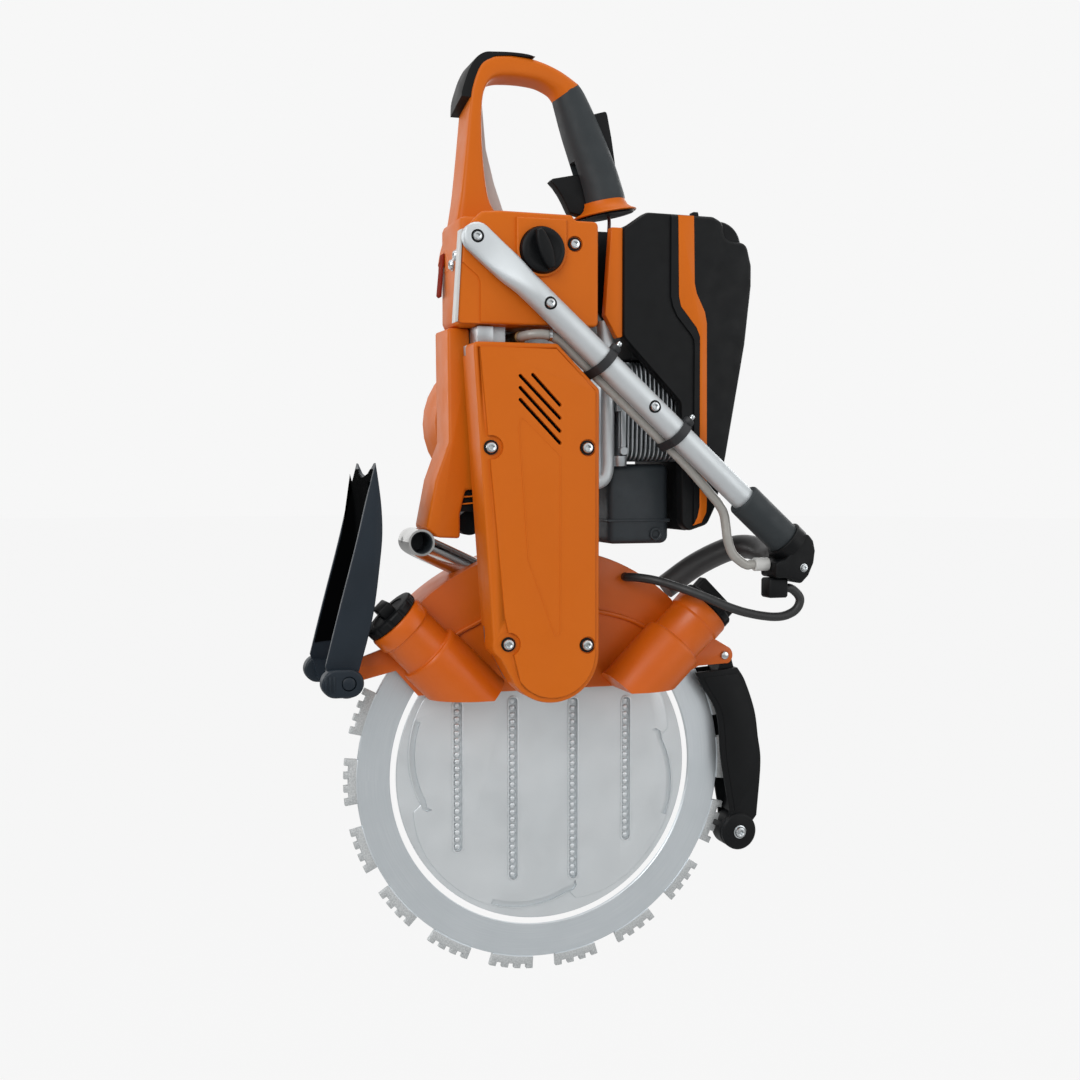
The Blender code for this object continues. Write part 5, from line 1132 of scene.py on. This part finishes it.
hood = dressed("hood_casting", slab(arch(175, 132, 75), -8.7, 42, 2.5, 4, True), orange_enamel, "blade_guard")
carve(hood, [slab(arch(172, 129, 60), -20, 39), rod(188, -30, 36, CENTRE, steps=144)])
GUIDES = [over(polar(132, a)) for a in DIAGONALS]
posts = [rod(8, 8.3, 40, guide, steps=28) for guide in GUIDES]
posts += [rod(4, 0.3, 9, guide, steps=24) for guide in GUIDES]
posts.append(rod(6, 1.8, 40, at(10, 0, 84), steps=24))
carve(hood, posts, "UNION")

# %% Roller cover with bell housings
edge = [(120, 75), (150, 90), *arc(*HINGE, 9, -60, 60, 12), (140, 130), *arch(175, 132, 75)[1:-1],
    (-140, 122), *arc(*REAR_PIVOT, 9, 110, 260, 14), (-140, 98), (-120, 75)]
cover_plate = dressed("roller_cover_casting", slab(edge, -12, -9, 0.8, 2), orange_enamel, "roller_cover")
LEFT = Vector((-1, 0, 1)).normalized()
RIGHT = Vector((1, 0, 1)).normalized()
BELL_Y = -31
BELL_FOOT = at(0, BELL_Y, 0)
BELL = [(0, 98), (29.6, 98), (29, 104), (28.8, 160), (28.5, 162.4), (27.6, 163.6), (25.4, 164.2), (24.7, 165),
    (24.5, 167), (24.5, 189.6), (25, 191), (26.2, 192), (26.4, 193), (26.4, 203.5), (25.6, 205.4), (24, 206),
    (0, 206)]


def as_tool(piece):
    """A carved piece turned back into a tool body."""
    build = bmesh.new()
    build.from_mesh(piece.data)
    mesh = piece.data
    bpy.data.objects.remove(piece)
    bpy.data.meshes.remove(mesh)
    return build


for direction in (LEFT, RIGHT):
    bell = dressed("bell", turned(BELL, BELL_FOOT, direction, 64), orange_enamel)
    carve(bell, [rounded_box((-300, -150, -60), (300, 60, 75), 1),
        rounded_box((-300, -9.6, 20), (300, 80, 300), 1)])
    carve(cover_plate, [as_tool(bell)], "UNION")
tools = [rod(13, 121, 230, BELL_FOOT, direction, 32) for direction in (LEFT, RIGHT)]
tools += [rod(9.5, -19, 30, at(*(direction * place)) - Vector((0, 12, 0)) * MM, steps=24)
    for direction in (LEFT, RIGHT) for place in (132, 129)]
tools += [rod(16, -80, 80, over(DRIVE), steps=40), rod(3.3, -80, 80, over(HINGE), steps=24),
    rod(6.3, -80, 80, over(REAR_PIVOT), steps=28)]
carve(cover_plate, tools)
print("roller cover faces:", len(cover_plate.data.polygons))

# %% Ribs on the plate
for name, points in (("rib_left", [(-90, 124), (-84.8, 128.6), (-68.3, 137), (-52.6, 144.5), (-46, 146)]),
        ("rib_right", [(34, 146), (50.4, 144.2), (66, 140.5), (80, 136), (94, 129)])):
    piped(name, [over(spot, -12.6) for spot in points], 2.2, orange_enamel)

# %% [markdown]
# Each housing is closed by a black knob, a disc with finger notches and a raised bar. The left bar lies
# across the saw and the right one along it.

# %% Adjuster knobs
KNOB_SEAT, NOTCHES, NOTCH_CIRCLE = 206.3, 12, 27
DEPTH = Vector((0, 1, 0))
for name, direction, bar, size in (("left", LEFT, DEPTH, (26, 13, 11)),
        ("right", RIGHT, None, (44, 13, 14))):
    centre = at(*(direction * KNOB_SEAT + Vector((0, BELL_Y, 0))))
    side = direction.cross(DEPTH)
    knob = dressed(f"knob_{name}", turned([(0, 0), (24.4, 0), (25.5, 1), (25.5, 6.2), (24.6, 7.5), (23.2, 8),
        (17, 8), (16.4, 7.2), (0, 7.2)], centre, direction, 72), black_nylon, f"adjuster_knob_{name}",
        body=f"knob_{name}")
    notches = []
    for number in range(NOTCHES):
        turn = 2 * math.pi * (number + 0.5) / NOTCHES
        spot = centre + (side * math.cos(turn) + DEPTH * math.sin(turn)) * NOTCH_CIRCLE * MM
        notches.append(rod(2.8, -5, 20, spot, direction, 16))
    carve(knob, notches)
    along = bar or side
    frame_axes = Matrix((along, direction.cross(along), direction)).transposed()
    block = cube(Vector(size))
    rounded(block, block.edges[:], 1.8, 3)
    bmesh.ops.rotate(block, cent=(0, 0, 0), matrix=frame_axes, verts=block.verts)
    bmesh.ops.translate(block, vec=centre + direction * (6 + size[2] / 2) * MM, verts=block.verts)
    dressed(f"knob_bar_{name}", block, black_nylon, body=f"knob_{name}")
print("knobs made")

# %% [markdown]
# ## Splash guards
# The rear guard is a blue-black trough, here swung up: its side walls come to a point, and thin dead-black
# plates inside it paint the shade in the trough. The front guard is a black channel over the ring's edge, with
# a roller at its foot.

# %% Rear guard
def aside(points, shift):
    """The same line, moved along x."""
    return [(x + shift, z) for x, z in points]


back = flowing([(-179, 103), (-171, 131), (-165, 158), (-160.5, 192), (-158, 218), (-158.4, 240),
    (-160.6, 261), (-163.4, 280)])
mouth = flowing([(-163.4, 280), (-171.4, 249), (-181, 209), (-193.5, 162), (-201.5, 131), (-207, 109)])[1:]
rear = dressed("rear_guard_trough", slab([*arc(*REAR_PIVOT, 14, 180, 340, 16), *back, *mouth], -45, 45, 1.4,
    3, True), navy_nylon, "rear_guard", body="rear_guard")
hollow = aside(back, -8) + [(-171, 290)] + aside(mouth, -32)
NOTCH = [(-38, 300), (-38, 281), (-22, 271), (0, 267), (22, 271), (38, 281), (38, 300)]
carve(rear, [slab(hollow, -41, 41), across(NOTCH, -190, -140), rod(24, -33, 33, over(REAR_PIVOT))])
for near, far in ((-55, -41.2), (41.2, 55)):
    end = slab(arc(-188, 95, 12, -90, 90, 16) + arc(-200, 95, 12, 90, 270, 16), near, far, 2.2, 4, True)
    carve(rear, [end], "UNION")
carve(rear, [rod(6.3, -80, 80, over(REAR_PIVOT), steps=32)])
# Dead-black plates inside the back wall, on the far wall and along the top of the mouth paint the shade inside
# the trough.
shade_plate = slab(aside(back[4:-5], -7.9) + aside(back[4:-5], -8.7)[::-1], -40.9, 40.9)
wall = slab(aside(back[4:-3], -8.2) + aside(mouth[3:-3], 1.2), 40.2, 40.95)
tip = slab(aside(mouth[:4], -0.4) + aside(mouth[:4], 1.2)[::-1], -40.5, 40.5)
dressed("rear_guard_shade_plate", gathered([shade_plate, wall]), shade_black, body="rear_guard")
tipped = dressed("rear_guard_tip_shade", tip, shade_black, body="rear_guard")
carve(tipped, [across(NOTCH, -190, -140)])
ridges = [rounded_box((-209.5 + 3.4 * i, -56, 88), (-207.7 + 3.4 * i, -53, 102), 0.6, 2) for i in range(3)]
dressed("guard_cap_ridges", gathered(ridges), navy_nylon, body="rear_guard")

# %% Front guard
inside = flowing([(146, 84), (152, 72), (168, 44), (173, 0), (181, -45), (182, -54)])
outside = flowing([(210, -56), (214, -6), (211, 20), (207, 46), (197, 74), (189, 87)])
front_outline = [*inside, *arc(*GUARD_ROLLER, 9, -140, 10, 12), *outside]
front = dressed("front_guard_channel", slab(front_outline, -15, 15, 1.6, 3, True), black_nylon, "front_guard",
    body="front_guard")
carve(front, [rod(193, -11.5, 11.5, CENTRE, steps=160)])
ear = [rod(9, -8.7, 15, over(HINGE), steps=32), slab([HINGE, (170, 82), (190, 78), (184, 99)], -8.7, 15)]
carve(front, ear, "UNION")
carve(front, [rod(3.3, -40, 40, over(HINGE), steps=24), rod(18.5, -10.3, 10.3, over(GUARD_ROLLER))])
carve(front, [rod(4, -14.7, 14.7, over(GUARD_ROLLER), steps=24)], "UNION")
panel_line = aside(inside[3:-4], 5) + aside(outside[4:-3], -5)
dressed("front_guard_panel", slab(panel_line, -15.6, -14.6, 0.5, 2), black_nylon, body="front_guard")

# %% Its roller and bolt
dressed("guard_roller_wheel", turned([(4.3, -9.8), (15.6, -9.8), (17, -8.4), (17, 8.4), (15.6, 9.8),
    (4.3, 9.8), (4.3, -9.8)], over(GUARD_ROLLER), steps=64), black_nylon, "front_guard_roller",
    body="guard_roller")
dressed("front_guard_cheek", turned([(0, -2), (15.4, -2), (16.4, -1.6), (17.4, -0.6), (17.4, 2.4), (0, 2.4)],
    over(GUARD_ROLLER, -15), steps=64), black_nylon, body="front_guard")
PIN = [(0, -2.4), (2.2, -2.4), (3.4, -1.9), (4, -0.9), (4, 0), (2.9, 0), (2.9, 26.7), (0, 26.7)]
dressed("guard_hinge_screw", turned(PIN, over(HINGE, -12.3), steps=32), bright_zinc, "front_guard_screw",
    sharp=35)
screws("roller_bolt", [(191, -16.8, -70)], 0.95, body="front_guard")

# %% [markdown]
# ## Foot tube
# A chromed tube bent under the tank: its near end is open. It is swept as rings along the route, the bore is
# drilled, and a dark cup inside it paints the shade in the bore.

# %% Rings along a route
def swept(route, radius, steps):
    """route: frame points; radius in millimetres."""
    side = (route[1] - route[0]).orthogonal().normalized()
    rings = []
    for i, spot in enumerate(route):
        ahead = (route[min(i + 1, len(route) - 1)] - route[max(i - 1, 0)]).normalized()
        side = (side - ahead * side.dot(ahead)).normalized()
        other = ahead.cross(side)
        rings.append([spot + (side * math.cos(a) + other * math.sin(a)) * radius * MM
            for a in all_round(steps)])
    return bridged(rings)


route = smoothed([over(FOOT, -45), over(FOOT, -25), over(FOOT, -4), at(-114, 9, 207), at(-90, 14, 196),
    at(-56, 14, 180)], 6)
foot = dressed("foot_tube_bent", swept(route, 11.5, 40), bright_tube, "foot_tube", sharp=50)
carve(foot, [rod(9.7, -60, -10, over(FOOT), steps=40)], sharp=50)
BORE_SHADE_CUP = [(9, -43.6), (9.65, -43.6), (9.65, -11), (0, -11), (0, -12), (9, -12), (9, -43.6)]
# The dark cup paints the shade inside the tube's open end.
dressed("foot_tube_bore_shade", turned(BORE_SHADE_CUP, over(FOOT), steps=40), stove_paint)
print("foot tube made")
